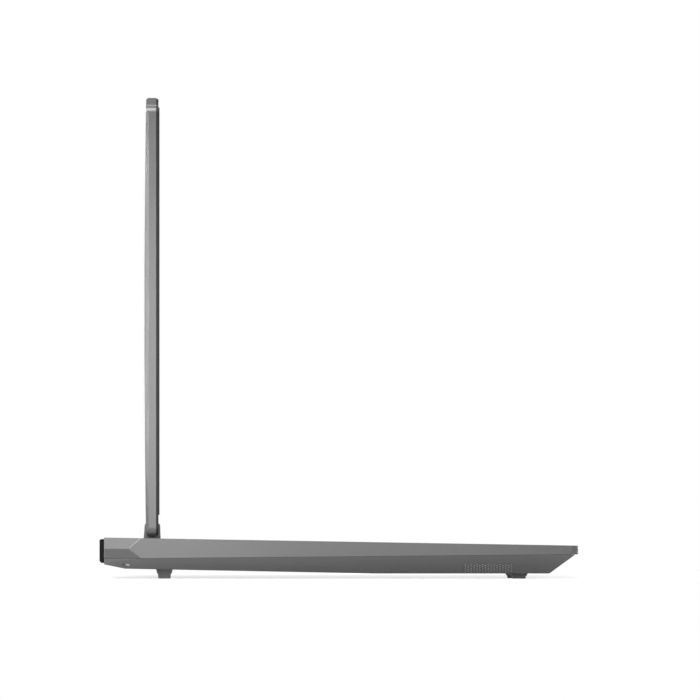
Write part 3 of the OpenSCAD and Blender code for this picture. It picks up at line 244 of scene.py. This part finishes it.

# %% [markdown]
# ## Rounded edges
# No real edge is perfectly sharp: even a narrow bevel catches a thin line of light along each crease. The
# imported mesh is never changed. A copy of it is welded, its flat triangles are joined, and a Bevel modifier
# rounds the copy's edges inward, each by its own weight. The edges could be cut by hand, but a modifier on
# weights follows any change of the frame. In the cut rear corners the edges take a bevel of their own with a
# lighter finish, a painted highlight along those creases. There the seam between the halves of the case stays
# crisp and the facets stay flat. The bottom cover has many vents, and one face round many slots fills badly,
# so there only flat regions without a hole are joined. A Weighted Normal modifier then keeps the broad faces
# flat.

# %% The seam and the cut rear corners
# CREASE_FRONT is in mm, angles are in radians and the rest is in metres.
HALF_W, BACK_Y = cad_box[1][0], cad_box[1][1]
CREASE_TILT, CREASE_FRONT = math.radians(0.508), 13.1
SEAM_BAND, SEAM_END_Y, SEAM_SHARE = 0.3 * MM, BACK_Y - 21 * MM, 0.25
CUT_FRONT_Y, CUT_BACK_Y, CUT_INNER_X = BACK_Y - 20.5 * MM, BACK_Y - 2.2 * MM, HALF_W - 13 * MM
CUT_ABOVE_SEAM, CUT_TOP_Z = 1.5 * MM, 21.6 * MM
CORNER_SIZE = 22 * MM
SHARP, FACET_SHARP = math.radians(24), math.radians(5)


def middle_of(edge):
    """The point halfway along an edge."""
    return (edge.verts[0].co + edge.verts[1].co) / 2


def seam_height(y):
    """Height in metres of the seam between the halves of the case at depth y: it falls evenly rearward."""
    return CREASE_FRONT * MM - (y + BACK_Y) * math.tan(CREASE_TILT)


def edge_weight(edge):
    """Share of the full bevel that an edge takes: little on the seam, none on it in a cut rear corner."""
    middle = middle_of(edge)
    if abs(middle.z - seam_height(middle.y)) > SEAM_BAND:
        return 1.0
    return 0.0 if middle.y > SEAM_END_Y else SEAM_SHARE


def on_cut_corner(edge):
    """True for an edge of the facets that cut the rear corners of the upper case."""
    middle = middle_of(edge)
    behind = CUT_FRONT_Y < middle.y < CUT_BACK_Y
    outer = abs(middle.x) > CUT_INNER_X
    return behind and outer and seam_height(middle.y) + CUT_ABOVE_SEAM < middle.z < CUT_TOP_Z


def in_rear_corner(point):
    """True on the flat facets of the rear corners of the base."""
    return point.y > BACK_Y - CORNER_SIZE and abs(point.x) > HALF_W - CORNER_SIZE and point.z < CORNER_SIZE


def sharpest(edge):
    """Least angle that counts as an edge here: small in the rear corners, else SHARP."""
    return FACET_SHARP if in_rear_corner(middle_of(edge)) else SHARP


print("seam falls from", CREASE_FRONT, "to", round(seam_height(BACK_Y) / MM, 2), "mm")

# %% Flat regions that can be joined
FLAT_ANGLE, JOIN_ANGLE = math.radians(0.2), math.radians(0.25)
VENTED = {"bottom_cover"}


def whole_flats(bm):
    """Edges inside the flat regions that have no hole in them: there points - edges + faces is 1.

    They are listed in the mesh's own order, so that each run joins them alike.
    """
    seen, inner = set(), set()
    for start in bm.faces:
        region, stack = [], [] if start in seen else [start]
        seen.add(start)
        while stack:
            face = stack.pop()
            region.append(face)
            for edge in face.edges:
                if len(edge.link_faces) == 2 and edge.calc_face_angle() < FLAT_ANGLE:
                    fresh = [other for other in edge.link_faces if other not in seen]
                    seen.update(fresh)
                    stack += fresh
        members = set(region)
        edges = {edge for face in region for edge in face.edges}
        verts = {vert for face in region for vert in face.verts}
        if len(verts) - len(edges) + len(region) == 1:
            inner.update(edge for edge in edges if members.issuperset(edge.link_faces))
    return [edge for edge in bm.edges if edge in inner]


def welded(node):
    """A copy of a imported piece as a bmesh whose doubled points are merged."""
    bm = bmesh.new()
    bm.from_mesh(NODES[node].data)
    bmesh.ops.remove_doubles(bm, verts=bm.verts, dist=WELD)
    return bm


# %% A softened copy
CORNER_WIDTH = 0.35


def bevel_edges(obj, name, width, layer):
    """A Bevel modifier of width mm on the edges that a weight layer marks. Returns the modifier."""
    bevel = obj.modifiers.new(name, "BEVEL")
    bevel.width = width * MM
    bevel.segments = 2
    bevel.limit_method = "WEIGHT"
    bevel.edge_weight = layer
    bevel.miter_outer = "MITER_ARC"
    bevel.use_clamp_overlap = True
    return bevel


def softened(node, width):
    """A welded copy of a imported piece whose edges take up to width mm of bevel. It stands for the piece."""
    mesh = NODES[node].data.copy()
    mesh.name = node + ".soft"
    bm = welded(node)
    joined_edges = whole_flats(bm) if node in VENTED else bm.edges
    bmesh.ops.dissolve_limit(bm, angle_limit=JOIN_ANGLE, verts=bm.verts, edges=joined_edges)
    weights = bm.edges.layers.float.new("bevel_weight_edge")
    corners = bm.edges.layers.float.new("corner_edge")
    for face in bm.faces:
        face.smooth = not in_rear_corner(face.calc_center_median())
    for edge in bm.edges:
        edge.smooth = True
        if len(edge.link_faces) == 2 and edge.calc_face_angle(0) > sharpest(edge):
            edge[weights] = edge_weight(edge)
            edge.smooth = edge[weights] > 0
            if node == "top_case" and on_cut_corner(edge):
                edge[weights], edge[corners] = 0.0, 1.0
    bm.to_mesh(mesh)
    bm.free()
    obj = bpy.data.objects.new(node + ".soft", mesh)
    bpy.context.scene.collection.objects.link(obj)
    # The bevels of the cut rear corners take the lighter finish, a painted highlight.
    if node == "top_case":
        mesh.materials.append(CUT_EDGE_HIGHLIGHT)
        bevel_edges(obj, "painted highlight corners", CORNER_WIDTH, "corner_edge").material = 1
    bevel_edges(obj, "soft edges", width, "bevel_weight_edge")
    flat = obj.modifiers.new("flat faces", "WEIGHTED_NORMAL")
    flat.weight = 90
    flat.keep_sharp = True
    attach(obj, BODY_OF[node])
    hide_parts(node)


# %% Soften the pieces that are seen
# Widths are in mm.
SOFT_WIDTH = {
    "top_case": 0.22, "bottom_cover": 0.2, "lid_cover": 0.25, "screen_bezel": 0.12,
    "hinge_tower_left": 0.25, "hinge_tower_right": 0.25, "rear_foot": 0.25, "front_feet": 0.25,
    "keyboard_frame": 0.1, "touchpad": 0.1, "power_button": 0.15, "shutter_switch": 0.1,
}
for node, width in SOFT_WIDTH.items():
    softened(node, width)
print("softened:", len(SOFT_WIDTH))

# %% [markdown]
# ## Keycaps
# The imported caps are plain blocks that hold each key's place. The keys shown here are surfaces in two
# parameters. A ring parameter climbs the skirt, rounds the top edge and then shrinks to the middle, and an
# angle parameter follows a rounded rectangle. The top is dished by a parabola across the key. A block with
# subdivisions could be pressed into the same form, but rings give an even dish with far fewer faces.

# %% The deck's own coordinates
# DECK_HEIGHT is the deck's height in mm where y is 0.
DECK_TILT, DECK_HEIGHT = math.radians(0.977), 20.0859


def from_deck(points):
    """Deck coordinates in mm to the frame in metres: a turn by the deck's tilt about X, then its height."""
    x, y, z = np.asarray(points, float).T
    c, s = math.cos(DECK_TILT), math.sin(DECK_TILT)
    return np.stack([x, y * c - z * s, DECK_HEIGHT + y * s + z * c], 1) * MM


def to_deck(points):
    """The frame in metres to deck coordinates in mm: from_deck turned round."""
    x, y, z = np.asarray(points, float).T / MM
    c, s = math.cos(DECK_TILT), math.sin(DECK_TILT)
    return np.stack([x, y * c + (z - DECK_HEIGHT) * s, (z - DECK_HEIGHT) * c - y * s], 1)


def islands(node):
    """Boxes (x0, x1, y0, y1, z0, z1) in the deck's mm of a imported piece's separate solids, row by row."""
    bm = welded(node)
    seen, boxes = set(), []
    for start in bm.verts:
        if start in seen:
            continue
        seen.add(start)
        stack, points = [start], []
        while stack:
            vert = stack.pop()
            points.append(vert.co[:])
            for edge in vert.link_edges:
                other = edge.other_vert(vert)
                if other not in seen:
                    seen.add(other)
                    stack.append(other)
        deck = to_deck(points)
        boxes.append(tuple(np.stack([deck.min(0), deck.max(0)], 1).ravel()))
    bm.free()
    return sorted(boxes, key=lambda b: (-round(b[3]), b[0]))


KEY_NODES = ["function_keys", "number_row_keys", "upper_row_keys", "home_row_keys", "lower_row_keys",
             "modifier_keys", "space_bar", "arrow_keys", "number_pad_keys"]
KEY_BOXES = {node: islands(node) for node in KEY_NODES}
print("keys found:", {node: len(boxes) for node, boxes in KEY_BOXES.items()})

# %% Meshes from arrays


def new_object(name, points, faces, material):
    """An object, not yet on any body, whose mesh has these points in metres, faces and one material."""
    mesh = bpy.data.meshes.new(name)
    mesh.from_pydata(np.asarray(points).tolist(), [], faces)
    mesh.materials.append(material)
    obj = bpy.data.objects.new(name, mesh)
    bpy.context.scene.collection.objects.link(obj)
    return obj


def new_piece(name, shape, material, node, smooth=True):
    """A piece whose shape is (points in metres, faces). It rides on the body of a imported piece."""
    piece = new_object(name, *shape, material)
    piece.data.polygons.foreach_set("use_smooth", [smooth] * len(piece.data.polygons))
    piece.data.update()
    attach(piece, BODY_OF[node])
    return piece


def ringed(rings, tip):
    """Points and faces of closed rings, joined ring to ring by quads and from the last to a tip by a fan.

    Quad (r, i) joins points i and i + 1 of ring r to the same two of ring r + 1, where i + 1 wraps round.
    """
    count = len(rings[0])
    near = np.arange(count)
    far = np.roll(near, -1)
    start = count * np.arange(len(rings) - 1)[:, None]
    quads = np.stack([start + near, start + far, start + count + far, start + count + near], -1)
    last = count * (len(rings) - 1)
    fan = np.stack([last + near, last + far, np.full(count, last + count)], -1)
    return np.concatenate([*rings, [tip]]), quads.reshape(-1, 4).tolist() + fan.tolist()


def together(shapes):
    """One shape from many: the point numbers of each are raised by the count of points before it."""
    points, faces, before = [], [], 0
    for shape_points, shape_faces in shapes:
        points.append(shape_points)
        faces += [[before + i for i in face] for face in shape_faces]
        before += len(shape_points)
    return np.concatenate(points), faces


# %% The keycap surface
# Each row of SKIRT is an inset in mm and the share of the cap's height where it is reached. The rest is mm.
SKIRT = [(0.0, 0.0), (0.0, 0.5), (0.0, 0.84), (0.10, 0.94), (0.30, 0.99), (0.55, 1.0)]
TOP_RINGS, BACK_R, FRONT_R, BOW, DISH = 7, 1.5, 2.3, 0.35, 0.22
ARC_POINTS = 7


def rounded_outline(w, d, back_r, front_r):
    """Points round a w x d rectangle about the origin, with r at the back corners and another in front.

    Each corner is centre + r (cos t, sin t). The front side is bowed: y rises from its middle toward its
    corners by BOW (2 x / w)^2, and by a share of it up to the half depth.
    """
    side_x, side_y = np.array([[1, -1, -1, 1], [1, 1, -1, -1]])[..., None]
    r = np.array([back_r, back_r, front_r, front_r])[:, None]
    t = np.radians(np.linspace(0, 90, ARC_POINTS) + 90 * np.arange(4)[:, None])
    x = side_x * (w / 2 - r) + r * np.cos(t)
    y = side_y * (d / 2 - r) + r * np.sin(t)
    arcs = np.stack([x.ravel(), y.ravel()], 1)
    front = np.linspace(-0.5, 0.5, ARC_POINTS)[1:-1, None] * [w - 2 * front_r, 0] - [0, d / 2]
    points = np.concatenate([arcs[:3 * ARC_POINTS], front, arcs[3 * ARC_POINTS:]])
    share = np.clip(-points[:, 1] / (d / 2), 0, 1)
    points[:, 1] += BOW * (2 * points[:, 0] / w) ** 2 * share
    return points


def keycap(box):
    """Points and faces of one keycap in its deck box, in deck mm.

    Point(u, t) = centre + outline(t) scaled by 1 - inset(u), at height(u). On top, with s the share of the
    way from the middle, z = top - DISH (1 - s^2).
    """
    x0, x1, y0, y1, z0, z1 = box
    half = np.array([x1 - x0, y1 - y0]) / 2
    centre = np.array([x0 + x1, y0 + y1]) / 2
    outline = rounded_outline(*(2 * half), *np.minimum([BACK_R, FRONT_R], 2 * half[1] / 3))
    count = len(outline)
    steps = [((half - inset) / half, z0 + (z1 - z0) * rise) for inset, rise in SKIRT]
    edge = steps[-1][0]
    steps += [(edge * s, z1 - DISH * (1 - s * s)) for s in np.linspace(1, 0, TOP_RINGS + 1)[1:-1]]
    rings = [np.column_stack([centre + outline * scale, np.full(count, z)]) for scale, z in steps]
    points, faces = ringed(rings, [*centre, z1 - DISH])
    return points, faces + [list(range(count))[::-1]]


# %% Make each row of keys
for node, boxes in KEY_BOXES.items():
    points, faces = together(keycap(box) for box in boxes)
    caps = new_piece(node + ".caps", (from_deck(points), faces), KEYCAP, node)
    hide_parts(node)
print("keycaps:", sum(len(boxes) for boxes in KEY_BOXES.values()))

# %% [markdown]
# ## Key legends
# The characters are plain letters, figures and signs from the built-in font, as they are printed on any
# keyboard. Each is turned to a flat mesh once and then laid on the keys that need it. Every vertex takes the
# dished height under it, so a legend follows the cap, which an image on the cap would do only with a map of
# its own. The legends of a row are one object and ride with that row.

# %% Turn text to arrays
ARROWS = {"<up>": 90, "<left>": 180, "<down>": 270, "<right>": 0}
ARROW_R = 0.45
GLYPHS = {}


def arrow(turn):
    """A triangle that points along turn, as ARROW_R (cos t, sin t) at three even steps of t."""
    angles = np.radians(turn + np.array([0, 120, 240]))
    return np.stack([np.cos(angles), np.sin(angles)], 1) * ARROW_R, [[0, 1, 2]]


def lettering(text):
    """Points (x, y) and faces of text in the built-in font, with its box centred on the origin."""
    curve = bpy.data.curves.new("legend", "FONT")
    curve.body = text
    curve.resolution_u = 3
    holder = bpy.data.objects.new("legend", curve)
    mesh = holder.to_mesh()
    flat = np.empty(len(mesh.vertices) * 3)
    mesh.vertices.foreach_get("co", flat)
    points = flat.reshape(-1, 3)[:, :2]
    faces = [list(p.vertices) for p in mesh.polygons]
    points = points - (points.min(0) + points.max(0)) / 2
    holder.to_mesh_clear()
    bpy.data.objects.remove(holder)
    bpy.data.curves.remove(curve)
    return points, faces


def glyph(text):
    """Points (x, y) and faces of text about the origin, for a size of 1. Each is made once and kept."""
    if text not in GLYPHS:
        GLYPHS[text] = arrow(ARROWS[text]) if text in ARROWS else lettering(text)
    return GLYPHS[text]


# %% Lay text on a key
# In mm.
LEGEND_LIFT = 0.02


def laid(box, text, size, place):
    """Points and faces of text on a key, in deck mm. place is a share of the half width and half depth.

    The height under (x, y) is top - DISH (1 - s^2), where s = max(|x| / half width, |y| / half depth).
    """
    flat, faces = glyph(text)
    x0, x1, y0, y1, _, z1 = box
    half = np.array([(x1 - x0) / 2, (y1 - y0) / 2])
    local = flat * size + half * np.array(place)
    s = np.clip(np.abs(local / half).max(1), 0, 1)
    xy = local + np.array([(x0 + x1) / 2, (y0 + y1) / 2])
    return np.column_stack([xy, z1 - DISH * (1 - s * s) + LEGEND_LIFT]), faces


# %% What is written on each key
SHIFTED = {"1": "!", "2": "@", "3": "#", "4": "$", "5": "%", "6": "^", "7": "&", "8": "*", "9": "(", "0": ")",
           "-": "_", "=": "+", "`": "~", "[": "{", "]": "}", ";": ":", "'": '"', ",": "<", ".": ">", "/": "?",
           "\\": "|"}
LEGENDS = {
    "function_keys": ["Esc"] + ["F%d" % n for n in range(1, 13)] + ["Ins", "Del"],
    "number_row_keys": list("`1234567890-=\\") + ["Bksp"],
    "upper_row_keys": ["Tab"] + list("QWERTYUIOP[]") + ["\\"],
    "home_row_keys": ["Caps"] + list("ASDFGHJKL;'") + ["Enter"],
    "lower_row_keys": ["Shift"] + list("ZXCVBNM,./") + ["Shift"],
    "modifier_keys": ["Ctrl", "Fn", "Sys", "Alt", "Alt", "Ctrl", "Menu"],
    "arrow_keys": ["<up>", "<left>", "<down>", "<right>"],
    "number_pad_keys": ["Home", "End", "PgUp", "PgDn", "Num", "/", "*", "-", "7", "8", "9", "+",
                        "4", "5", "6", "1", "2", "3", "Ent", "0", "."],
}
# Each is a size in mm and a place on the cap.
WORD = (2.1, (-0.05, 0.12))
LETTER = (3.6, (-0.42, 0.3))
LOWER_SIGN, UPPER_SIGN = (3.0, (-0.42, -0.3)), (2.8, (-0.42, 0.42))
PAD_SIGN = (3.4, (0.0, 0.1))


def written(node, word):
    """Rows of (text, size, place) for one key: a word, a letter, two signs, or one sign of the number pad."""
    if len(word) > 1:
        return [(word, *WORD)]
    if node == "number_pad_keys":
        return [(word, *PAD_SIGN)]
    if word in SHIFTED:
        return [(word, *LOWER_SIGN), (SHIFTED[word], *UPPER_SIGN)]
    return [(word, *LETTER)]


for node, words in LEGENDS.items():
    rows = [(box, *row) for word, box in zip(words, KEY_BOXES[node]) for row in written(node, word)]
    points, faces = together(laid(*row) for row in rows)
    new_piece(node + ".legends", (from_deck(points), faces), LEGEND, node, smooth=False)
print("legends on", sum(len(words) for words in LEGENDS.values()), "keys")

# %% [markdown]
# ## Speaker cloth
# Behind the speaker holes lies a silvery cloth, and it shows as a light dot in each hole. A whole sheet
# would need a pocket in the case, so only the dots are made: a small disc in the mouth of each hole, just
# under the facet that the holes are cut in.

# %% Discs on a facet
FACET = math.radians(58.5)
DISC_POINTS = 14


def facet_point(down, along, out, side):
    """Facet coordinates in mm to metres: a turn by 90 degrees + FACET about Y, then the crease's about X."""
    theta = math.pi / 2 + FACET
    x = down * math.cos(theta) + out * math.sin(theta)
    z = -down * math.sin(theta) + out * math.cos(theta)
    c, s = math.cos(CREASE_TILT), math.sin(CREASE_TILT)
    y_turned, z_turned = along * c + z * s, -along * s + z * c
    return np.array([side * (HALF_W / MM + x), y_turned - BACK_Y / MM, CREASE_FRONT + z_turned]) * MM


def disc(centre, across, up, radius):
    """A disc as centre + r (across cos t + up sin t), closed by a fan to its centre."""
    t = np.linspace(0, 2 * math.pi, DISC_POINTS + 1)[:-1, None]
    return ringed([centre + radius * (across * np.cos(t) + up * np.sin(t))], centre)


# %% Cloth in the speaker holes
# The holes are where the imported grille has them, in mm on the facet. A dot reaches a little into the wall.
GRILLE_DOWN, GRILLE_BACK = 13.6, 48.8
COLUMNS, COLUMN_PITCH, EVEN_HOLES, HOLE_PITCH = 17, 1.55, 5, 1.9
HOLE_R, DOT_OVERLAP, DOT_SUNK = 0.45, 0.02, 0.12


def speaker_dots(side):
    """A disc for each hole: every other column has one hole less and so lies half a pitch off."""
    origin = facet_point(0, 0, 0, side)
    down = (facet_point(1, 0, 0, side) - origin) / MM
    along = (facet_point(0, 1, 0, side) - origin) / MM * side
    radius = (HOLE_R + DOT_OVERLAP) * MM
    for column in range(COLUMNS):
        count = EVEN_HOLES - column % 2
        place_along = GRILLE_BACK + (column - (COLUMNS - 1) / 2) * COLUMN_PITCH
        for row in range(count):
            place_down = GRILLE_DOWN + (row - (count - 1) / 2) * HOLE_PITCH
            yield disc(facet_point(place_down, place_along, -DOT_SUNK, side), down, along, radius)


for side, name in SIDES:
    node = "speaker_grille_" + name
    cloth = new_piece(node + ".cloth", together(speaker_dots(side)), CLOTH, node)
print("speaker dots:", len(cloth.data.polygons) // DISC_POINTS, "on each side")

# %% [markdown]
# ## Small fittings
# A bright rivet sits in each rear corner beside a dark disc that paints the shade of a drain hole, two dark
# discs paint the shade of microphone holes beside the camera, and the power key has a small lamp. Each is a
# low dome of a few rings. A straight line is sent at the packed piece to find where the dome lands and which
# way the face looks, so that it sits on the surface whatever the facet's slope.

# %% Where a straight line meets a piece


def landed(node, start, way):
    """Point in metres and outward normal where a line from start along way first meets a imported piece."""
    bm = bmesh.new()
    bm.from_mesh(NODES[node].data)
    point, normal, _, _ = BVHTree.FromBMesh(bm).ray_cast(Vector(start), Vector(way))
    bm.free()
    return np.array(point), np.array(normal)


# %% A low dome on a face
DOME_POINTS, DOME_FOOT, DOME_RINGS = 28, 0.01, (0.9, 0.7, 0.4)


def dome(name, spot, across, radii, rise, material, node):
    """A low dome: rim(t) = across a cos t + up b sin t, and ring c of it stands rise (1 - c^2) mm out."""
    point, normal = spot
    up = np.cross(normal, across)
    up /= np.linalg.norm(up)
    across = np.cross(up, normal)
    t = np.linspace(0, 2 * math.pi, DOME_POINTS + 1)[:-1, None]
    rim = (across * np.cos(t) * radii[0] + up * np.sin(t) * radii[1]) * MM
    out = normal * MM
    rings = [point + rim + out * DOME_FOOT]
    rings += [point + rim * c + out * rise * (1 - c * c) for c in DOME_RINGS]
    new_piece(name, ringed(rings, point + out * rise), material, node)


# %% Rivets and drain holes in the rear corners
# FAR_OUT is where the straight lines start, in metres, and the rest is mm.
FAR_OUT = 0.3
RIVET_Y, RIVET_Z, RIVET_R, RIVET_RISE = 114.1, 7.5, 1.1, 0.12
DRAIN_Y, DRAIN_Z, DRAIN_RADII, DRAIN_RISE = 116.4, 7.7, (0.5, 0.8), 0.02
for side, name in SIDES:
    inward = (-side, 0, 0)
    rivet = landed("bottom_cover", (side * FAR_OUT, RIVET_Y * MM, RIVET_Z * MM), inward)
    drain = landed("bottom_cover", (side * FAR_OUT, DRAIN_Y * MM, DRAIN_Z * MM), inward)
    dome("corner_rivet_" + name, rivet, (0, 1, 0), (RIVET_R, RIVET_R), RIVET_RISE, STEEL, "bottom_cover")
    # The drain hole is painted shade: a dark disc with no hole behind it.
    dome("corner_drain_shade_" + name, drain, (0, 1, 0), DRAIN_RADII, DRAIN_RISE, TRIM, "bottom_cover")
    print(name, "rivet at", np.round(rivet[0] / MM, 1))

# %% Microphone holes and the power key's lamp
MICROPHONE_APART, MICROPHONE_R, MICROPHONE_RISE = 22, 0.45, 0.01
LAMP_RADII, LAMP_RISE = (1.5, 0.3), 0.02


def centre_of(node):
    """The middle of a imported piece's box, in metres."""
    low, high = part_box(node)
    return (low + high) / 2


camera_x, _, camera_z = centre_of("camera_module")
for side, name in SIDES:
    start = (camera_x + side * MICROPHONE_APART * MM, -FAR_OUT, camera_z)
    hole = landed("screen_bezel", start, (0, 1, 0))
    radii = (MICROPHONE_R, MICROPHONE_R)
    # Each microphone hole is painted shade: a dark glassy disc with no hole behind it.
    dome("microphone_hole_shade_" + name, hole, (1, 0, 0), radii, MICROPHONE_RISE, LENS, "screen_bezel")
key_x, key_y, _ = centre_of("power_button")
key_top = landed("power_button", (key_x, key_y, FAR_OUT), (0, 0, -1))
dome("power_lamp", key_top, (1, 0, 0), LAMP_RADII, LAMP_RISE, LEGEND, "power_button")
print("camera at", round(camera_z / MM, 1), "mm, lamp at", np.round(key_top[0] / MM, 1))

# %% [markdown]
# ## Studio
# The camera is a long telephoto lens far out on -X, level with the deck, so that the left side is seen almost
# without perspective. The background is white only to the camera and in mirrored or refracted rays. The
# floor is pale to the same rays and mid grey to all others, so that it doesn't fill the lower facets with
# light. A wide white sweep would be simpler, but its light would wash the facets out.

# %% Camera
# DISTANCE is in metres, SENSOR, places and aim in mm. The size of a pixel is that on the left side's plane.
IMAGE_SIDE, MM_PER_PIXEL = 700, 0.5394
DISTANCE, SENSOR = 17.0, 36.0
CAMERA_Y, CAMERA_Z = 97.0, 22.0
AIM_Y, AIM_Z = -5.8, 123.4
plane_x = cad_box[0][0]
camera_data = bpy.data.cameras.new("telephoto")
camera_data.sensor_width = SENSOR
camera_data.lens = SENSOR * DISTANCE / (IMAGE_SIDE * MM_PER_PIXEL * MM)
camera_data.clip_start = 1.0
camera_data.clip_end = 80.0
camera = bpy.data.objects.new("camera", camera_data)
bpy.context.scene.collection.objects.link(camera)
camera.location = (plane_x - DISTANCE, CAMERA_Y * MM, CAMERA_Z * MM)
aim = Vector((plane_x, AIM_Y * MM, AIM_Z * MM))
camera.rotation_euler = (aim - camera.location).to_track_quat("-Z", "Y").to_euler()
bpy.context.scene.camera = camera
print("lens:", round(camera_data.lens), "mm")

# %% Two shaders, chosen by the kind of ray


def seen_ray(tree):
    """1 on camera, mirrored and refracted rays, else 0: the largest of three Light Path outputs."""
    ray = tree.nodes.new("ShaderNodeLightPath")
    bright = math_node(tree, "MAXIMUM", ray.outputs["Is Camera Ray"], ray.outputs["Is Glossy Ray"])
    return math_node(tree, "MAXIMUM", bright, ray.outputs["Is Transmission Ray"])


def plain(tree, kind, setting, value):
    """A shader node of some kind with one of its inputs set. Returns its output."""
    node = tree.nodes.new(kind)
    node.inputs[setting].default_value = value
    return node.outputs[0]


def by_ray(tree, unseen, seen, output):
    """Gives an output node the shader seen where seen_ray is 1 and the shader unseen elsewhere."""
    choose = tree.nodes.new("ShaderNodeMixShader")
    tree.links.new(seen_ray(tree), choose.inputs[0])
    tree.links.new(unseen, choose.inputs[1])
    tree.links.new(seen, choose.inputs[2])
    tree.links.new(choose.outputs[0], tree.nodes.new(output).inputs["Surface"])


# %% World: white where it is seen or mirrored, soft grey light for the rest
WORLD_FILL = 0.42
WHITE = (1.0, 1.0, 1.0, 1.0)


def background(tree, strength):
    """A white Background shader of a given strength."""
    node = tree.nodes.new("ShaderNodeBackground")
    node.inputs["Color"].default_value = WHITE
    node.inputs["Strength"].default_value = strength
    return node.outputs[0]


world = bpy.data.worlds.new("studio")
world.use_nodes = True
bpy.context.scene.world = world
tree = world.node_tree
tree.nodes.clear()
by_ray(tree, background(tree, WORLD_FILL), background(tree, 1.0), "ShaderNodeOutputWorld")
print("world fill:", WORLD_FILL)

# %% [markdown]
# ## Lights
# Area lights stand for the soft boxes of a studio. Cards on the left light the facets of the base, one low
# in front draws the line of the lip, and a grid that spreads only 10 degrees lifts the side of the lid
# without touching the base. Fills and rims from the front, the right and behind keep the other sides
# readable. All are weak, so that each finish renders about as it is written.

# %% Make the lights


def area_light(name, place, aim, size, power, spread=180):
    """An area light of size (wide, high) at place, facing aim and unseen itself. Metres, watts, degrees."""
    data = bpy.data.lights.new(name, "AREA")
    data.shape = "RECTANGLE"
    data.size, data.size_y = size
    data.energy = power
    data.spread = math.radians(spread)
    obj = bpy.data.objects.new(name, data)
    bpy.context.scene.collection.objects.link(obj)
    obj.location = place
    obj.rotation_euler = (Vector(aim) - obj.location).to_track_quat("-Z", "Y").to_euler()
    obj.visible_camera = False


area_light("card beside the rear left side", (-0.43, 0.165, 0.1), (-0.18, 0.165, 0.1), (0.26, 0.22), 0.53)
area_light("card beside the front left side", (-0.43, -0.06, 0.05), (-0.18, -0.06, 0.05), (0.06, 0.08), 0.05)
area_light("lip light", (0.45, -0.6, 0.05), (-0.15, -0.13, 0.015), (0.2, 0.1), 1.8)
area_light("front fill", (0.3, -2.0, 1.2), (0, 0, 0.08), (1.4, 1.4), 14.0)
area_light("right fill", (1.5, 0.3, 0.7), (0, 0, 0.1), (0.9, 0.9), 7.0)
area_light("rear rim", (0.1, 0.95, 1.5), (0.0, 0.1, 0.1), (0.9, 0.9), 7.0)
area_light("rear left rim", (-0.42, 0.52, 0.55), (-0.17, 0.1, 0.15), (0.2, 0.2), 1.2)
area_light("grid beside the lid", (-0.26, 0.5, 0.152), (-0.17, 0.1, 0.152), (0.16, 0.2), 0.2, spread=10)
area_light("card above the left side", (-0.4, 0.1, 0.75), (-0.17, 0.1, 0.25), (0.2, 0.3), 2.2)
print("lights:", len(bpy.data.lights))

# %% [markdown]
# ## Floor
# The laptop stands on a plain pale table. It is a disc cut from a grid, so that a function of x can lift the
# part beyond the laptop's right side by 2 mm. The camera on the left then sees the shadow there as a thin
# band, which a flat table would hide.

# %% The floor's finish: pale where it is seen, mid grey for the rest
DULL, PALE, GLOW = (0.32, 0.32, 0.325, 1.0), (0.52, 0.52, 0.525, 1.0), 0.66
floor_material = bpy.data.materials.new("pale floor")
floor_material.use_nodes = True
tree = floor_material.node_tree
tree.nodes.clear()
lit = tree.nodes.new("ShaderNodeAddShader")
tree.links.new(plain(tree, "ShaderNodeBsdfDiffuse", "Color", PALE), lit.inputs[0])
tree.links.new(plain(tree, "ShaderNodeEmission", "Strength", GLOW), lit.inputs[1])
dull = plain(tree, "ShaderNodeBsdfDiffuse", "Color", DULL)
by_ray(tree, dull, lit.outputs[0], "ShaderNodeOutputMaterial")
print("floor glow:", GLOW)

# %% The floor: a disc that rises a little beyond the laptop's right side
# In metres.
FLOOR_R, FLOOR_POINTS, FLOOR_SUNK = 0.9, 91, 0.02 * MM
RISE, RISE_FROM, RISE_TO, RISE_POINTS = 2.0 * MM, 0.16, 0.19, 8


def floor_height(x):
    """Level up to RISE_FROM, then rising by RISE as 3 t^2 - 2 t^3, so that the far shadow shows as a band."""
    t = np.clip((x - RISE_FROM) / (RISE_TO - RISE_FROM), 0, 1)
    return RISE * (3 * t * t - 2 * t ** 3) - FLOOR_SUNK


def floor_grid():
    """Points (x, y, height of x) on a grid, closer in x on the rise, and its cells that start in the disc."""
    even = np.linspace(-FLOOR_R, FLOOR_R, FLOOR_POINTS)
    rows = np.sort(np.concatenate([even[:-RISE_POINTS], np.linspace(RISE_FROM, RISE_TO, RISE_POINTS)]))
    x, y = np.meshgrid(rows, even, indexing="ij")
    number = np.arange(x.size).reshape(x.shape)
    cells = np.stack([number[:-1, :-1], number[1:, :-1], number[1:, 1:], number[:-1, 1:]], -1)
    inside = np.hypot(x, y)[:-1, :-1] < FLOOR_R
    return np.stack([x, y, floor_height(x)], -1).reshape(-1, 3), cells[inside].tolist()


floor = new_object("floor", *floor_grid(), floor_material)
floor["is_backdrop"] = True
print("floor cells:", len(floor.data.polygons))

# %% Plain colours
bpy.context.scene.view_settings.view_transform = "Standard"
print("view transform:", bpy.context.scene.view_settings.view_transform)

# %% Sizes of the frame and of what is shown
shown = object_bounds()
changes = [abs(a - b) for p, q in zip(cad_box, shown) for a, b in zip(p, q)]
print("largest size change, mm:", round(max(changes) / MM, 3))
